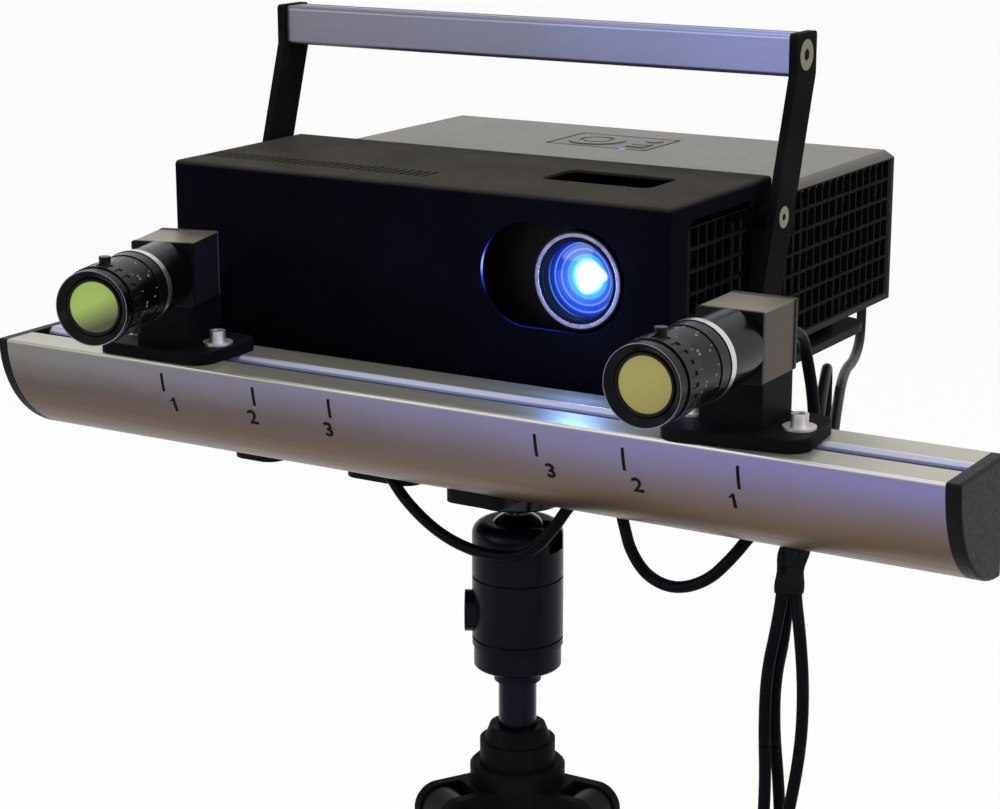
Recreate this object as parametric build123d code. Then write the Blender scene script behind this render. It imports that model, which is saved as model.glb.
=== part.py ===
"""Structured-light scanner: a projector between two cameras on a rail, on a compact tripod."""
from build123d import *
import math
import os

os.makedirs("parts", exist_ok=True)

# Fits and clearances, all in millimetres
running_gap = 0.3
fixed_gap = 0.1
face_gap = 0.2
button_gap = 0.5

# Rail: a quarter-round extrusion, flat on top and at the back
rail_length = 460
rail_radius = 50
rail_wall = 3
rail_edge = 1
slot_opening = 10
slot_chamfer = 1.8
slot_setback = 24.5
groove_width = 20
groove_depth = 6
groove_web = 2.5
back_slot_drop = 25
core_hole = 4.2
cap_thickness = 6
cap_rim = 1.5
cap_plug = 8

# Camera carriages
plate_width = 62
plate_depth = 45
plate_thickness = 5.5
plate_corner = 10
screw_spacing = 46
screw_head = 7.2
screw_head_height = 5
screw_shank = 4.8
screw_slot = 9
washer_size = 13.6
washer_thickness = 1.2
nut_length = 14
nut_thickness = 4
riser_width = 27
riser_depth = 32
riser_height = 19.8
camera_width = 28.8
camera_depth = 33
camera_height = 29
camera_frame = 2
camera_inset = 0.4

# Camera lens, from the camera's face forward
tube_length = 28
tube_size = 30
silver_length = 4
silver_size = 33
iris_length = 8
iris_size = 32.4
barrel_length = 16
barrel_size = 31.6
focus_length = 12
focus_size = 33.2
focus_ribs = 24
rim_length = 6
rim_size = 32
neck_size = 26.4
lens_bore = 21
filter_size = 24
filter_thickness = 2
filter_recess = 2.6
lens_screw = 5
lens_screw_rise = 2.6

# Camera plugs
plug_size = 14
plug_drop = 6.5
right_plug_length = 22
left_plug_length = 14

# Sheet hood over the projector's front
sheet = 1.5
hood_centre = -50.2
hood_width = 261.2
hood_front = 66
hood_depth = 100
hood_top = 79.2
hood_bend = 2
hood_flange = 12
side_window_front = 17
side_window_rear = 20
side_window_top = 8.2
side_window_sill = 18.5
window_corner = 6
lens_window_width = 71.3
lens_window_height = 46.2
vent_count = 30
vent_width = 2
vent_length = 14
vent_pitch = 4.17
vent_centre = -114.5
vent_setback = 25
cutout_width = 55
cutout_depth = 30.5
cutout_corner = 5
cutout_centre = 21.5
cutout_setback = 55.8

# Base plate and tripod bracket
base_top = -10.5
base_thickness = 4
base_rear = 290
base_corner = 15
flange_drop = 19
notch_width = 30
notch_depth = 15
notch_centre = -153
bracket_left = -50
bracket_right = 32
bracket_front = 62
bracket_depth = 50
bracket_wall = 4
bracket_floor = 6
shelf_left = -146
shelf_right = -43
shelf_front = 57
shelf_thickness = 8
shelf_corner = 8
shelf_gap_left = -120
shelf_gap_right = -82
shelf_gap_depth = 18

# Handle
bar_depth = 16.5
bar_height = 18.9
bar_setback = 176.25
bar_level = 133
bar_groove = 2.2
bar_edge = 2
arm_gap = 6.9
arm_thickness = 4
arm_width = 21
arm_lean = 0.32
arm_bend_level = 124
arm_foot_level = -4
arm_corner = 2
boss_size = 12
upper_boss_level = 62.8
lower_boss_level = 0
upper_screw_head = 14
lower_screw_head = 10
upper_hex = 5
lower_hex = 3
upper_shank = 6
lower_shank = 4.8

# Projector
projector_gap = 0.4
projector_front = 82
projector_rear = 317
projector_bottom = -4.5
projector_top = 71.6
tray_thickness = 3
end_wall = 3
grille_thickness = 2.5
cover_thickness = 4
cover_bevel = 3.8
cover_rim = 3
grille_rows = 7
grille_columns = 27
coarse_columns = 14
grille_hole = 7
grille_hole_height = 8.4
grille_pitch = 8.2
foot_size = 16
foot_inset = 22
keypad_width = 55
keypad_depth = 38.5
keypad_centre = -55.5
keypad_setback = 268
keypad_recess = 2.6
keypad_thickness = 1.6
keypad_ring = 18
power_size = 9
lens_offset = 36.4
lens_level = 44
projector_barrel = 40
projector_ring = 43
projector_ring_length = 13
projector_ring_neck = 1.2
projector_barrel_rear = 152
projector_glass_size = 34
projector_glass_thickness = 4
projector_dome = 60
projector_flange = 48
fan_size = 56
fan_frame = 62
fan_depth = 18
fan_blades = 7
fan_hub = 24
fan_level = 30
fan_setback = 280
fan_pin = 4
engine_inset = 12.5
engine_width = 74
engine_depth = 88
engine_top = 58
engine_fin_pitch = 8
engine_fin_height = 24
inlet_width = 27
inlet_height = 20
inlet_centre = -130
inlet_level = 22
inlet_depth = 18
inlet_wall = 2
video_centre = 40
video_level = 20
video_width = 20
video_height = 11
video_length = 28
video_shell = 8

# Ball head
column_setback = 78
release_left = -17
release_right = 13
release_front = 41
release_rear = 101
release_thickness = 6
release_corner = 6
platform_size = 44
platform_thickness = 6
ball_size = 32
ball_drop = 83.5
stem_size = 11
housing_size = 41.5
housing_top = -72
housing_bottom = -130
housing_shoulder = 6
housing_groove = 1.2
housing_upper_band = -98
housing_lower_band = -127
drop_notch = 12
spigot_size = 16
spigot_length = 6
base_ring_size = 40
base_ring_height = 10.5
collar_size = 21.7
collar_height = 7
knob_size = 19
knob_level = -115
knob_thickness = 6
knob_recess = 3
knob_azimuth = -150
knob_shaft = 6
knob_hole_depth = 6

# Column, spider and legs
column_size = 17.5
column_wall = 2
column_length = 290
nut_size = 35
nut_height = 18
nut_flat = 34.7
nut_cone = 31
spider_top_drop = 188
spider_height = 37
spider_core = 44
pivot_drop = 207
pivot_radius = 36
pivot_height = 400
cheek_thickness = 5
cheek_size = 22
eye_width = 16
eye_size = 20
pivot_bolt = 8
pivot_head = 13
pivot_head_height = 3
spread_angle = 24
leg_tube = 20
leg_wall = 2
leg_tube_rise = 30.8
leg_collar = 25
leg_collar_length = 22
lower_tube_start = 60
rubber_foot = 24
foot_flat = 1

# Cables
cable_size = 5.2
coil_radius = 26
coil_half_turns = 8
coil_gap = 0.6
floor_gap = 0.1
far_boot_length = 18
far_boot_size = 6
far_grip_length = 28
far_shell_length = 12

# Heights that follow from the sizes above
rail_top = pivot_height + pivot_drop
hood_left = hood_centre - hood_width / 2
hood_right = hood_centre + hood_width / 2
projector_width = hood_width - 2 * sheet - 2 * projector_gap
projector_left = hood_centre - projector_width / 2
projector_right = hood_centre + projector_width / 2
tray_top = projector_bottom + tray_thickness
engine_right = projector_right - engine_inset
engine_left = engine_right - engine_width
cover_bottom = projector_top - cover_thickness
base_bottom = base_top - base_thickness
rail_bottom = -rail_radius
bracket_bottom = rail_bottom - face_gap
release_bottom = bracket_bottom - release_thickness
lens_length = tube_length + silver_length + iris_length + barrel_length + focus_length + rim_length

BOTTOM = (Align.CENTER, Align.CENTER, Align.MIN)
TOP = (Align.CENTER, Align.CENTER, Align.MAX)
scanner_place = Pos(0, -column_setback, rail_top)
nodes = {}
cord_nodes = []


def keep(name, *pieces, place=Pos(0, 0, 0)):
    """Hold the solids of one piece, placed in the whole object."""
    solids = [solid for piece in pieces for solid in (place * piece).solids()]
    nodes[name] = Compound(solids)


def block(x0, x1, y0, y1, z0, z1):
    """A box between two corners."""
    return Pos((x0 + x1) / 2, (y0 + y1) / 2, (z0 + z1) / 2) * Box(x1 - x0, y1 - y0, z1 - z0)


def rod(size, length):
    """A round bar standing on the origin."""
    return Cylinder(size / 2, length, align=BOTTOM)


def hex_socket(across, depth):
    """A hexagon pocket that sinks from the origin."""
    return extrude(RegularPolygon(across / math.sqrt(3), 6), amount=-depth)


def countersunk(head, shank, length, across):
    """A countersunk screw with its flat head up at the origin."""
    cone_height = (head - shank) / 2
    cone = Cone(shank / 2, head / 2, cone_height, align=TOP)
    bar = Cylinder(shank / 2, length, align=TOP)
    return cone + bar - hex_socket(across, cone_height * 0.7)


# Rail section: front at 0, back at the radius, top at 0
half_mouth = slot_opening / 2
half_groove = groove_width / 2
groove_bottom = rail_wall + groove_depth
web_bottom = groove_bottom + groove_web
slot = Polygon(
    (-half_mouth - slot_chamfer, 0),
    (-half_mouth, -slot_chamfer),
    (-half_mouth, -rail_wall),
    (-half_groove, -rail_wall),
    (-half_groove, -groove_bottom),
    (half_groove, -groove_bottom),
    (half_groove, -rail_wall),
    (half_mouth, -rail_wall),
    (half_mouth, -slot_chamfer),
    (half_mouth + slot_chamfer, 0),
    align=None,
)
front_quarter = (Align.MAX, Align.MAX)
outline = Pos(rail_radius, 0) * (Circle(rail_radius) & Rectangle(rail_radius, rail_radius, align=front_quarter))
outline = fillet(outline.vertices(), rail_edge)
slot_place = Pos(slot_setback, 0)
back_place = Pos(rail_radius, -back_slot_drop) * Rot(0, 0, -90)


def chamber_section(gap):
    """The rail's inner chamber, clear of both slots, drawn in by a gap."""
    inset = rail_wall + gap
    room = Circle(rail_radius - inset) & Pos(-inset, -inset) * Rectangle(
        rail_radius, rail_radius, align=front_quarter
    )
    web_width = groove_width + 2 * (groove_web + gap)
    web = Rectangle(web_width, web_bottom + gap, align=(Align.CENTER, Align.MAX))
    corner_drop = back_slot_drop - half_groove - groove_web + 1 + gap
    corner_web = Rectangle(rail_radius, corner_drop, align=(Align.MIN, Align.MAX))
    return Pos(rail_radius, 0) * room - slot_place * web - back_place * web - slot_place * corner_web


core_place = Pos(rail_radius - web_bottom / 2, -web_bottom / 2)
section = outline - chamber_section(0) - slot_place * slot - back_place * slot
section = section - core_place * Circle(core_hole / 2)
rail = extrude(Plane.YZ * section, amount=rail_length / 2, both=True)
keep("rail", rail, place=scanner_place)

# End caps with a rounded rim, each with a plug in the rail's chamber
cap = extrude(Plane.YZ.offset(rail_length / 2) * outline, amount=cap_thickness)
cap = fillet(cap.faces().sort_by(Axis.X)[-1].edges(), cap_rim)
plug_start = Plane.YZ.offset(rail_length / 2 - cap_plug)
cap_insert = extrude(plug_start * chamber_section(running_gap), amount=cap_plug)
right_cap = cap + cap_insert
keep("rail_caps", right_cap, mirror(right_cap, about=Plane.YZ), place=scanner_place)


def lens_ring(size, length):
    """A ring that turns on the lens neck, with a small lock screw on its rim."""
    ring = rod(size, length - 2 * running_gap) - rod(neck_size + 2 * running_gap, length)
    return Pos(0, 0, running_gap) * ring


def lock_screw(size, length, angle):
    """A small round screw head on the ring's rim."""
    sunk = 1
    head = Cylinder(lens_screw / 2, lens_screw_rise + sunk, align=BOTTOM)
    return Rot(0, 0, angle) * Pos(size / 2 - sunk, 0, length / 2) * Rot(0, 90, 0) * head


def camera_set(side, plate_x, plate_yaw, riser_at, riser_yaw, camera_at, camera_yaw, iris_screw, plug_length):
    """One camera with its lens, on a riser and a plate clamped to the rail."""
    plate_place = Pos(plate_x, slot_setback, 0) * Rot(0, 0, plate_yaw)
    plate = extrude(RectangleRounded(plate_width, plate_depth, plate_corner), amount=plate_thickness)
    plate = chamfer(plate.faces().sort_by(Axis.Z)[-1].edges(), 0.5)
    holes = [
        Rot(0, 0, -plate_yaw) * Pos(x, 0, 0) * extrude(SlotOverall(screw_slot, screw_shank + 2 * running_gap), 20)
        for x in (-screw_spacing / 2, screw_spacing / 2)
    ]
    keep(f"{side}_carriage_plate", plate_place * (plate - holes), place=scanner_place)

    # Cap screw, washer and slot nut, clamped together
    nut_width = groove_width - 2 * button_gap
    nut_drop = rail_wall + face_gap
    fastener = Pos(0, 0, plate_thickness) * rod(washer_size, washer_thickness)
    head_bottom = plate_thickness + washer_thickness
    head = Pos(0, 0, head_bottom) * rod(screw_head, screw_head_height)
    head = head - Pos(0, 0, head_bottom + screw_head_height) * hex_socket(screw_head * 0.55, 3)
    shank_length = head_bottom + nut_drop + nut_thickness
    shank = Pos(0, 0, -nut_drop - nut_thickness) * rod(screw_shank, shank_length)
    nut = Pos(0, 0, -nut_drop) * Box(nut_length, nut_width, nut_thickness, align=TOP)
    fastener = fastener + head + shank + nut
    left_screw = Pos(plate_x - screw_spacing / 2, slot_setback, 0) * fastener
    right_screw = Pos(plate_x + screw_spacing / 2, slot_setback, 0) * fastener
    keep(f"{side}_plate_screws", left_screw, right_screw, place=scanner_place)

    riser = Box(riser_width, riser_depth, riser_height, align=BOTTOM)
    riser = fillet(riser.edges().filter_by(Axis.Z), 1)
    riser_place = Pos(riser_at[0], riser_at[1], plate_thickness) * Rot(0, 0, riser_yaw)
    keep(f"{side}_riser", riser_place * riser, place=scanner_place)

    # Camera: end frames stand a little proud of the folded cover
    camera_base = plate_thickness + riser_height
    cover = Pos(0, 0, camera_inset) * Box(
        camera_width - 2 * camera_inset,
        camera_depth - camera_frame,
        camera_height - 2 * camera_inset,
        align=BOTTOM,
    )
    frame = Box(camera_width, camera_frame, camera_height, align=BOTTOM)
    frame = fillet(frame.edges().filter_by(Axis.Y), 1)
    frame_shift = (camera_depth - camera_frame) / 2
    window = Pos(0, -camera_depth / 2, camera_height / 2) * Rot(90, 0, 0) * Cylinder(lens_bore / 2, 12)
    camera = cover + Pos(0, -frame_shift, 0) * frame + Pos(0, frame_shift, 0) * frame - window
    camera_place = Pos(camera_at[0], camera_at[1], camera_base) * Rot(0, 0, camera_yaw)
    keep(f"{side}_camera_body", camera_place * camera, place=scanner_place)

    # Lens barrel: its axis runs forward from the camera's face
    lens_place = camera_place * Pos(0, -camera_depth / 2, camera_height / 2) * Rot(90, 0, 0)
    iris_start = tube_length + silver_length
    barrel_start = iris_start + iris_length
    focus_start = barrel_start + barrel_length
    rim_start = focus_start + focus_length
    barrel = rod(tube_size, tube_length) + Pos(0, 0, tube_length) * rod(silver_size, silver_length)
    barrel = barrel + Pos(0, 0, iris_start) * rod(neck_size, rim_start - iris_start)
    barrel = barrel + Pos(0, 0, barrel_start) * rod(barrel_size, barrel_length)
    barrel = barrel + Pos(0, 0, rim_start) * rod(rim_size, rim_length)
    filter_back = lens_length - filter_recess - filter_thickness
    barrel = barrel - rod(lens_bore, lens_length)
    barrel = barrel - Pos(0, 0, filter_back) * rod(filter_size + 2 * fixed_gap, lens_length)
    mouth = Cone(filter_size / 2 + fixed_gap, rim_size / 2 - 1, filter_recess, align=TOP)
    barrel = barrel - Pos(0, 0, lens_length) * mouth
    keep(f"{side}_lens_barrel", lens_place * barrel, place=scanner_place)
    glass = Pos(0, 0, filter_back) * rod(filter_size, filter_thickness)
    keep(f"{side}_filter_glass", lens_place * glass, place=scanner_place)
    iris = lens_ring(iris_size, iris_length) + lock_screw(iris_size, iris_length, iris_screw)
    keep(f"{side}_iris_ring", lens_place * Pos(0, 0, iris_start) * iris, place=scanner_place)
    focus = lens_ring(focus_size, focus_length)
    rib_depth = 0.5
    gap_width = math.pi * focus_size / focus_ribs * 0.4
    gaps = PolarLocations(focus_size / 2, focus_ribs) * Box(2 * rib_depth, gap_width, focus_length * 0.5)
    focus = focus - Pos(0, 0, focus_length * 0.65) * Compound(children=gaps)
    focus = focus + lock_screw(focus_size, focus_length * 0.5, 90)
    keep(f"{side}_focus_ring", lens_place * Pos(0, 0, focus_start) * focus, place=scanner_place)

    # Cable plug behind the camera: a ribbed grip that narrows to the cable
    plug_place = camera_place * Pos(0, camera_depth / 2, camera_height / 2 - plug_drop) * Rot(-90, 0, 0)
    nose = plug_length * 0.25
    plug = rod(plug_size, plug_length - nose)
    plug = plug + Pos(0, 0, plug_length - nose) * Cone(plug_size / 2, cable_size / 2 + 1.2, nose, align=BOTTOM)
    for share in (0.25, 0.45):
        at = plug_length * share
        plug = plug - Pos(0, 0, at) * (rod(plug_size + 2, 1.2) - rod(plug_size - 1.6, 1.2))
    keep(f"{side}_camera_plug", plug_place * plug, place=scanner_place)
    cord_nodes.append(f"{side}_camera_plug")
    return scanner_place * plug_place * Pos(0, 0, plug_length)


right_exit = camera_set("right", 137, 7.5, (134.9, 28.2), 2.4, (137.2, 22.3), 0.8, -100, right_plug_length)
left_exit = camera_set("left", -148.6, 0, (-146.5, 24), 10.7, (-143.1, 19), 15.5, -80, left_plug_length)

# Hood: folded sheet, open at the back and below, with in-turned foot flanges
hood = block(hood_left, hood_right, hood_front, hood_front + hood_depth, base_top, hood_top)
bends = hood.edges().filter_by(Axis.Z).group_by(Axis.Y)[0] + hood.faces().sort_by(Axis.Z)[-1].edges()
hood = fillet([edge for edge in bends if edge.center().Y < hood_front + hood_depth - 1], hood_bend)
hood = hood - block(
    hood_left + sheet,
    hood_right - sheet,
    hood_front + sheet,
    hood_front + hood_depth + sheet,
    base_top - sheet,
    hood_top - sheet,
)
flange_rear = hood_front + hood_depth
for inner in (hood_left + sheet, hood_right - sheet - hood_flange):
    hood = hood + block(inner, inner + hood_flange, hood_front + sheet, flange_rear, base_top, base_top + sheet)
window_y0 = hood_front + side_window_front
window_y1 = hood_front + hood_depth - side_window_rear
window_z0 = base_top + side_window_sill
window_z1 = hood_top - side_window_top
side_window = RectangleRounded(window_y1 - window_y0, window_z1 - window_z0, window_corner)
side_window = Plane.YZ * Pos((window_y0 + window_y1) / 2, (window_z0 + window_z1) / 2) * side_window
hood = hood - extrude(side_window, amount=hood_width, both=True)
window_right = lens_offset - lens_window_height / 2 + lens_window_height
window_middle = window_right - lens_window_width / 2
lens_window = Plane.XZ * Pos(window_middle, lens_level) * SlotOverall(lens_window_width, lens_window_height)
hood = hood - extrude(lens_window, amount=-(hood_front + 5))
vents = GridLocations(vent_pitch, 1, vent_count, 1) * Box(vent_width, vent_length, 4 * sheet)
hood = hood - Pos(vent_centre, hood_front + vent_setback, hood_top) * Compound(children=vents)
cutout = Box(cutout_width, cutout_depth, 4 * sheet)
cutout = fillet(cutout.edges().filter_by(Axis.Z), cutout_corner)
hood = hood - Pos(cutout_centre, hood_front + cutout_setback, hood_top) * cutout

# Arm screw holes in the hood's sides
arm_front = bar_setback - arm_width / 2


def arm_shift(level):
    """How far the arm leans forward at a level."""
    return arm_lean * max(arm_bend_level - level, 0)


boss_points = [(bar_setback - arm_shift(level), level) for level in (upper_boss_level, lower_boss_level)]
for y, z in boss_points:
    bore = Pos(hood_centre, y, z) * Rot(0, 90, 0) * Cylinder(lower_shank / 2 + fixed_gap, hood_width + 10)
    hood = hood - bore
keep("hood", hood, place=scanner_place)

# Base plate with a front flange bolted to the rail's back slot
base = block(hood_left, hood_right, rail_radius, base_rear, base_bottom, base_top)
base = fillet(base.edges().filter_by(Axis.Z).group_by(Axis.Y)[-1], base_corner)
flange_thickness = base_thickness
flange_back = rail_radius + flange_thickness
base = base + block(hood_left, hood_right, rail_radius, flange_back, base_bottom - flange_drop, base_bottom)
notch_half = notch_width / 2
base = base - block(
    notch_centre - notch_half,
    notch_centre + notch_half,
    rail_radius - 1,
    rail_radius + notch_depth,
    base_bottom - flange_drop - 1,
    base_top + 1,
)
flange_screws = (-118, -66, -10, 56)
for x in flange_screws:
    base = base - Pos(x, rail_radius, -back_slot_drop) * Rot(-90, 0, 0) * rod(screw_shank + 2 * fixed_gap, 20)
bracket_middle = (bracket_left + bracket_right) / 2
bracket_screws = [
    (bracket_middle + dx, bracket_front + bracket_depth / 2 + dy)
    for dx in (-28, 28)
    for dy in (-14, 14)
]
bracket_cone = (lower_screw_head - lower_shank) / 2
for x, y in bracket_screws:
    base = base - Pos(x, y, base_bottom - 1) * rod(lower_shank + 2 * fixed_gap, base_thickness + 2)
    base = base - Pos(x, y, base_top) * Cone(
        lower_shank / 2 + fixed_gap, lower_screw_head / 2 + fixed_gap, bracket_cone, align=TOP
    )
keep("base_plate", base, place=scanner_place)

# Bracket below the base plate: a square tube with a side shelf for the cables
bracket_rear = bracket_front + bracket_depth
bracket = block(bracket_left, bracket_right, bracket_front, bracket_rear, bracket_bottom, base_bottom)
bracket = bracket - block(
    bracket_left + bracket_wall,
    bracket_right - bracket_wall,
    bracket_front - 1,
    bracket_rear + 1,
    bracket_bottom + bracket_floor,
    base_bottom - bracket_wall,
)
shelf_bottom = bracket_bottom - shelf_thickness
shelf = block(shelf_left, shelf_right, shelf_front, bracket_rear, shelf_bottom, bracket_bottom)
shelf = shelf - block(
    shelf_gap_left,
    shelf_gap_right,
    shelf_front - 1,
    shelf_front + shelf_gap_depth,
    shelf_bottom - 1,
    bracket_bottom + 1,
)
shelf = fillet(shelf.edges().filter_by(Axis.Z), shelf_corner)
bracket = bracket + shelf
for x, y in bracket_screws:
    bracket = bracket - Pos(x, y, base_bottom) * Cylinder(lower_shank / 2 + fixed_gap, bracket_wall + 2, align=TOP)
keep("tripod_bracket", bracket, place=scanner_place)

# Handle bar: a grooved extrusion between two arms
arm_inner = hood_width / 2 + arm_gap
bar_section = RectangleRounded(bar_depth, bar_height, bar_edge)
for y in (-bar_depth / 4, bar_depth / 4):
    bar_section = bar_section - Pos(y, bar_height / 2) * Rectangle(bar_groove, bar_groove)
    bar_section = bar_section - Pos(y, -bar_height / 2) * Rectangle(bar_groove, bar_groove)
bar_section = bar_section - Circle(upper_shank / 2 + fixed_gap)
bar = extrude(Plane.YZ * bar_section, amount=arm_inner, both=True)
keep("handle_bar", Pos(hood_centre, bar_setback, bar_level) * bar, place=scanner_place)

# Handle arms: flat bars that bend forward, stood off the hood by round bosses
arm_rear = arm_front + arm_width
arm_top = bar_level + bar_height / 2 + 0.6
foot_shift = arm_shift(arm_foot_level)
arm_outline = Polygon(
    (arm_front, arm_top),
    (arm_rear, arm_top),
    (arm_rear, arm_bend_level),
    (arm_rear - foot_shift, arm_foot_level),
    (arm_front - foot_shift, arm_foot_level),
    (arm_front, arm_bend_level),
    align=None,
)
arm = extrude(Plane.YZ.offset(arm_inner) * arm_outline, amount=arm_thickness, dir=(1, 0, 0))
arm = fillet([e for e in arm.edges().filter_by(Axis.X) if e.center().Z != arm_bend_level], arm_corner)
upper_cone = (upper_screw_head - upper_shank) / 2
lower_cone = (lower_screw_head - lower_shank) / 2
screws = []
for y, z in boss_points:
    boss = Pos(arm_inner - arm_gap, y, z) * Rot(0, 90, 0) * rod(boss_size, arm_gap)
    arm = arm + boss
outer = arm_inner + arm_thickness
for y, z in boss_points:
    at = Pos(outer, y, z) * Rot(0, 90, 0)
    arm = arm - at * Cylinder(lower_shank / 2 + fixed_gap, outer, align=TOP)
    arm = arm - at * Cone(lower_shank / 2 + fixed_gap, lower_screw_head / 2 + fixed_gap, lower_cone, align=TOP)
    screws.append(at * countersunk(lower_screw_head, lower_shank, arm_thickness + arm_gap + sheet, lower_hex))
at = Pos(outer, bar_setback, bar_level) * Rot(0, 90, 0)
arm = arm - at * Cylinder(upper_shank / 2 + fixed_gap, 20, align=TOP)
arm = arm - at * Cone(upper_shank / 2 + fixed_gap, upper_screw_head / 2 + fixed_gap, upper_cone, align=TOP)
screws.append(at * countersunk(upper_screw_head, upper_shank, 24, upper_hex))
arm_place = Pos(hood_centre, 0, 0)
keep("handle_arms", arm_place * arm, arm_place * mirror(arm, about=Plane.YZ), place=scanner_place)

# Screws of the frame: handle, bracket and rail
frame_screws = [arm_place * screw for screw in screws]
frame_screws += [arm_place * mirror(screw, about=Plane.YZ) for screw in screws]
bracket_screw_length = base_thickness + bracket_wall
for x, y in bracket_screws:
    frame_screws.append(
        Pos(x, y, base_top) * countersunk(lower_screw_head, lower_shank, bracket_screw_length, lower_hex)
    )
back_nut_front = rail_wall + face_gap + nut_thickness
for x in flange_screws:
    cap_screw = Pos(0, 0, flange_thickness) * rod(screw_head, screw_head_height)
    cap_screw = cap_screw - Pos(0, 0, flange_thickness + screw_head_height) * hex_socket(4, 3)
    cap_screw = cap_screw + Pos(0, 0, -back_nut_front) * rod(screw_shank, back_nut_front + flange_thickness)
    back_nut = Box(nut_length, groove_width - 2 * button_gap, nut_thickness, align=BOTTOM)
    cap_screw = cap_screw + Pos(0, 0, -back_nut_front) * back_nut
    frame_screws.append(Pos(x, rail_radius, -back_slot_drop) * Rot(-90, 0, 0) * cap_screw)
keep("chassis_screws", *frame_screws, place=scanner_place)

# Projector tray with its front wall, feet and fan frame
projector_middle = (projector_front + projector_rear) / 2
projector_length = projector_rear - projector_front
tray = block(projector_left, projector_right, projector_front, projector_rear, projector_bottom, tray_top)
wall_rear = projector_front + end_wall
tray = tray + block(projector_left, projector_right, projector_front, wall_rear, tray_top, cover_bottom)
lens_axis = Pos(lens_offset, projector_front, lens_level) * Rot(90, 0, 0)
tray = tray - lens_axis * Cylinder(projector_barrel / 2 + fixed_gap, 4 * end_wall)
for x in (projector_left + foot_inset, projector_right - foot_inset):
    for y in (projector_front + 18, base_rear - 15):
        foot_height = projector_bottom - base_top
        tray = tray + Pos(x, y, base_top) * rod(foot_size, foot_height)
fan_right = projector_right - grille_thickness - button_gap
fan_left = fan_right - fan_depth
half_frame = fan_frame / 2
frame = block(
    fan_left, fan_right, fan_setback - half_frame, fan_setback + half_frame, tray_top, fan_level + half_frame
)
fan_place = Pos(fan_left, fan_setback, fan_level) * Rot(0, 90, 0)
fan_bore = fan_size + 4 * button_gap
frame = frame - fan_place * Pos(0, 0, 2) * rod(fan_bore, fan_depth)
fan_spokes = fan_place * (Box(fan_bore, 6, 4) + Box(6, fan_bore, 4) + Cylinder(fan_hub / 2, 4))
frame = frame - (fan_place * Cylinder(fan_bore / 2, 10) - fan_spokes)
pin_end = fan_depth - 5
frame = frame + fan_place * Pos(0, 0, 1) * rod(fan_pin, pin_end - 1)
tray = tray + frame
keep("projector_base", tray, place=scanner_place)

# Cooling fan rotor on the frame's pin
rotor_start = 2 + running_gap
rotor_length = fan_depth - 3
rotor = Pos(0, 0, rotor_start) * rod(fan_hub, rotor_length - rotor_start)
blade_length = fan_size / 2 - fan_hub / 2 + 1
blade = Pos(fan_hub / 2 - 1 + blade_length / 2, 0, (rotor_start + rotor_length) / 2)
blade = blade * Rot(40, 0, 0) * Box(blade_length, 11, 1.4)
rotor = rotor + PolarLocations(0, fan_blades) * blade
rotor = rotor & Pos(0, 0, rotor_start) * rod(fan_size, rotor_length - rotor_start)
rotor = rotor - rod(fan_pin + 2 * running_gap, pin_end + running_gap)
keep("cooling_fan", fan_place * rotor, place=scanner_place)

# Side grilles: rows of square holes in a sheet that closes each side of the tray
grille_y0 = projector_front + end_wall
grille_y1 = projector_rear - end_wall
grille_length = grille_y1 - grille_y0
grille_height = cover_bottom - tray_top
row_pitch = grille_height / grille_rows
grille_sheet = Rectangle(grille_length, grille_height)
hole = Rectangle(grille_hole, grille_hole_height)
fine_net = grille_sheet - GridLocations(grille_pitch, row_pitch, grille_columns, grille_rows) * hole
coarse_shift = (grille_columns - coarse_columns) / 2 * grille_pitch
coarse_places = GridLocations(grille_pitch, row_pitch, coarse_columns, grille_rows)
coarse_net = grille_sheet - [Pos(coarse_shift, 0) * place * hole for place in coarse_places]
grille_middle = Pos((grille_y0 + grille_y1) / 2, (tray_top + cover_bottom) / 2)
right_plane = Plane.YZ.offset(projector_right - grille_thickness)
left_plane = Plane.YZ.offset(projector_left)
right_grille = extrude(right_plane * grille_middle * fine_net, amount=grille_thickness)
left_grille = extrude(left_plane * grille_middle * coarse_net, amount=grille_thickness)
keep("side_grilles", right_grille, left_grille, place=scanner_place)

# Projector cover: bevelled lid with a locating rim, and the keypad's recess
lid = block(projector_left, projector_right, projector_front, projector_rear, cover_bottom, projector_top)
lid = chamfer(lid.faces().sort_by(Axis.Z)[-1].edges(), cover_bevel)
rim_inset = end_wall + running_gap
rim = block(
    projector_left + rim_inset,
    projector_right - rim_inset,
    projector_front + rim_inset,
    projector_rear - rim_inset,
    cover_bottom - cover_rim,
    cover_bottom,
)
rim = rim - block(
    projector_left + rim_inset + 2,
    projector_right - rim_inset - 2,
    projector_front + rim_inset + 2,
    projector_rear - rim_inset - 2,
    cover_bottom - cover_rim,
    cover_bottom,
)
lid = lid + rim
keypad_place = Pos(keypad_centre, keypad_setback, projector_top)
recess = Box(keypad_width + 2 * button_gap, keypad_depth + 2 * button_gap, keypad_recess, align=TOP)
recess = fillet(recess.edges().filter_by(Axis.Z), 2)
lid = lid - keypad_place * recess
keep("projector_cover", lid, place=scanner_place)

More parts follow.
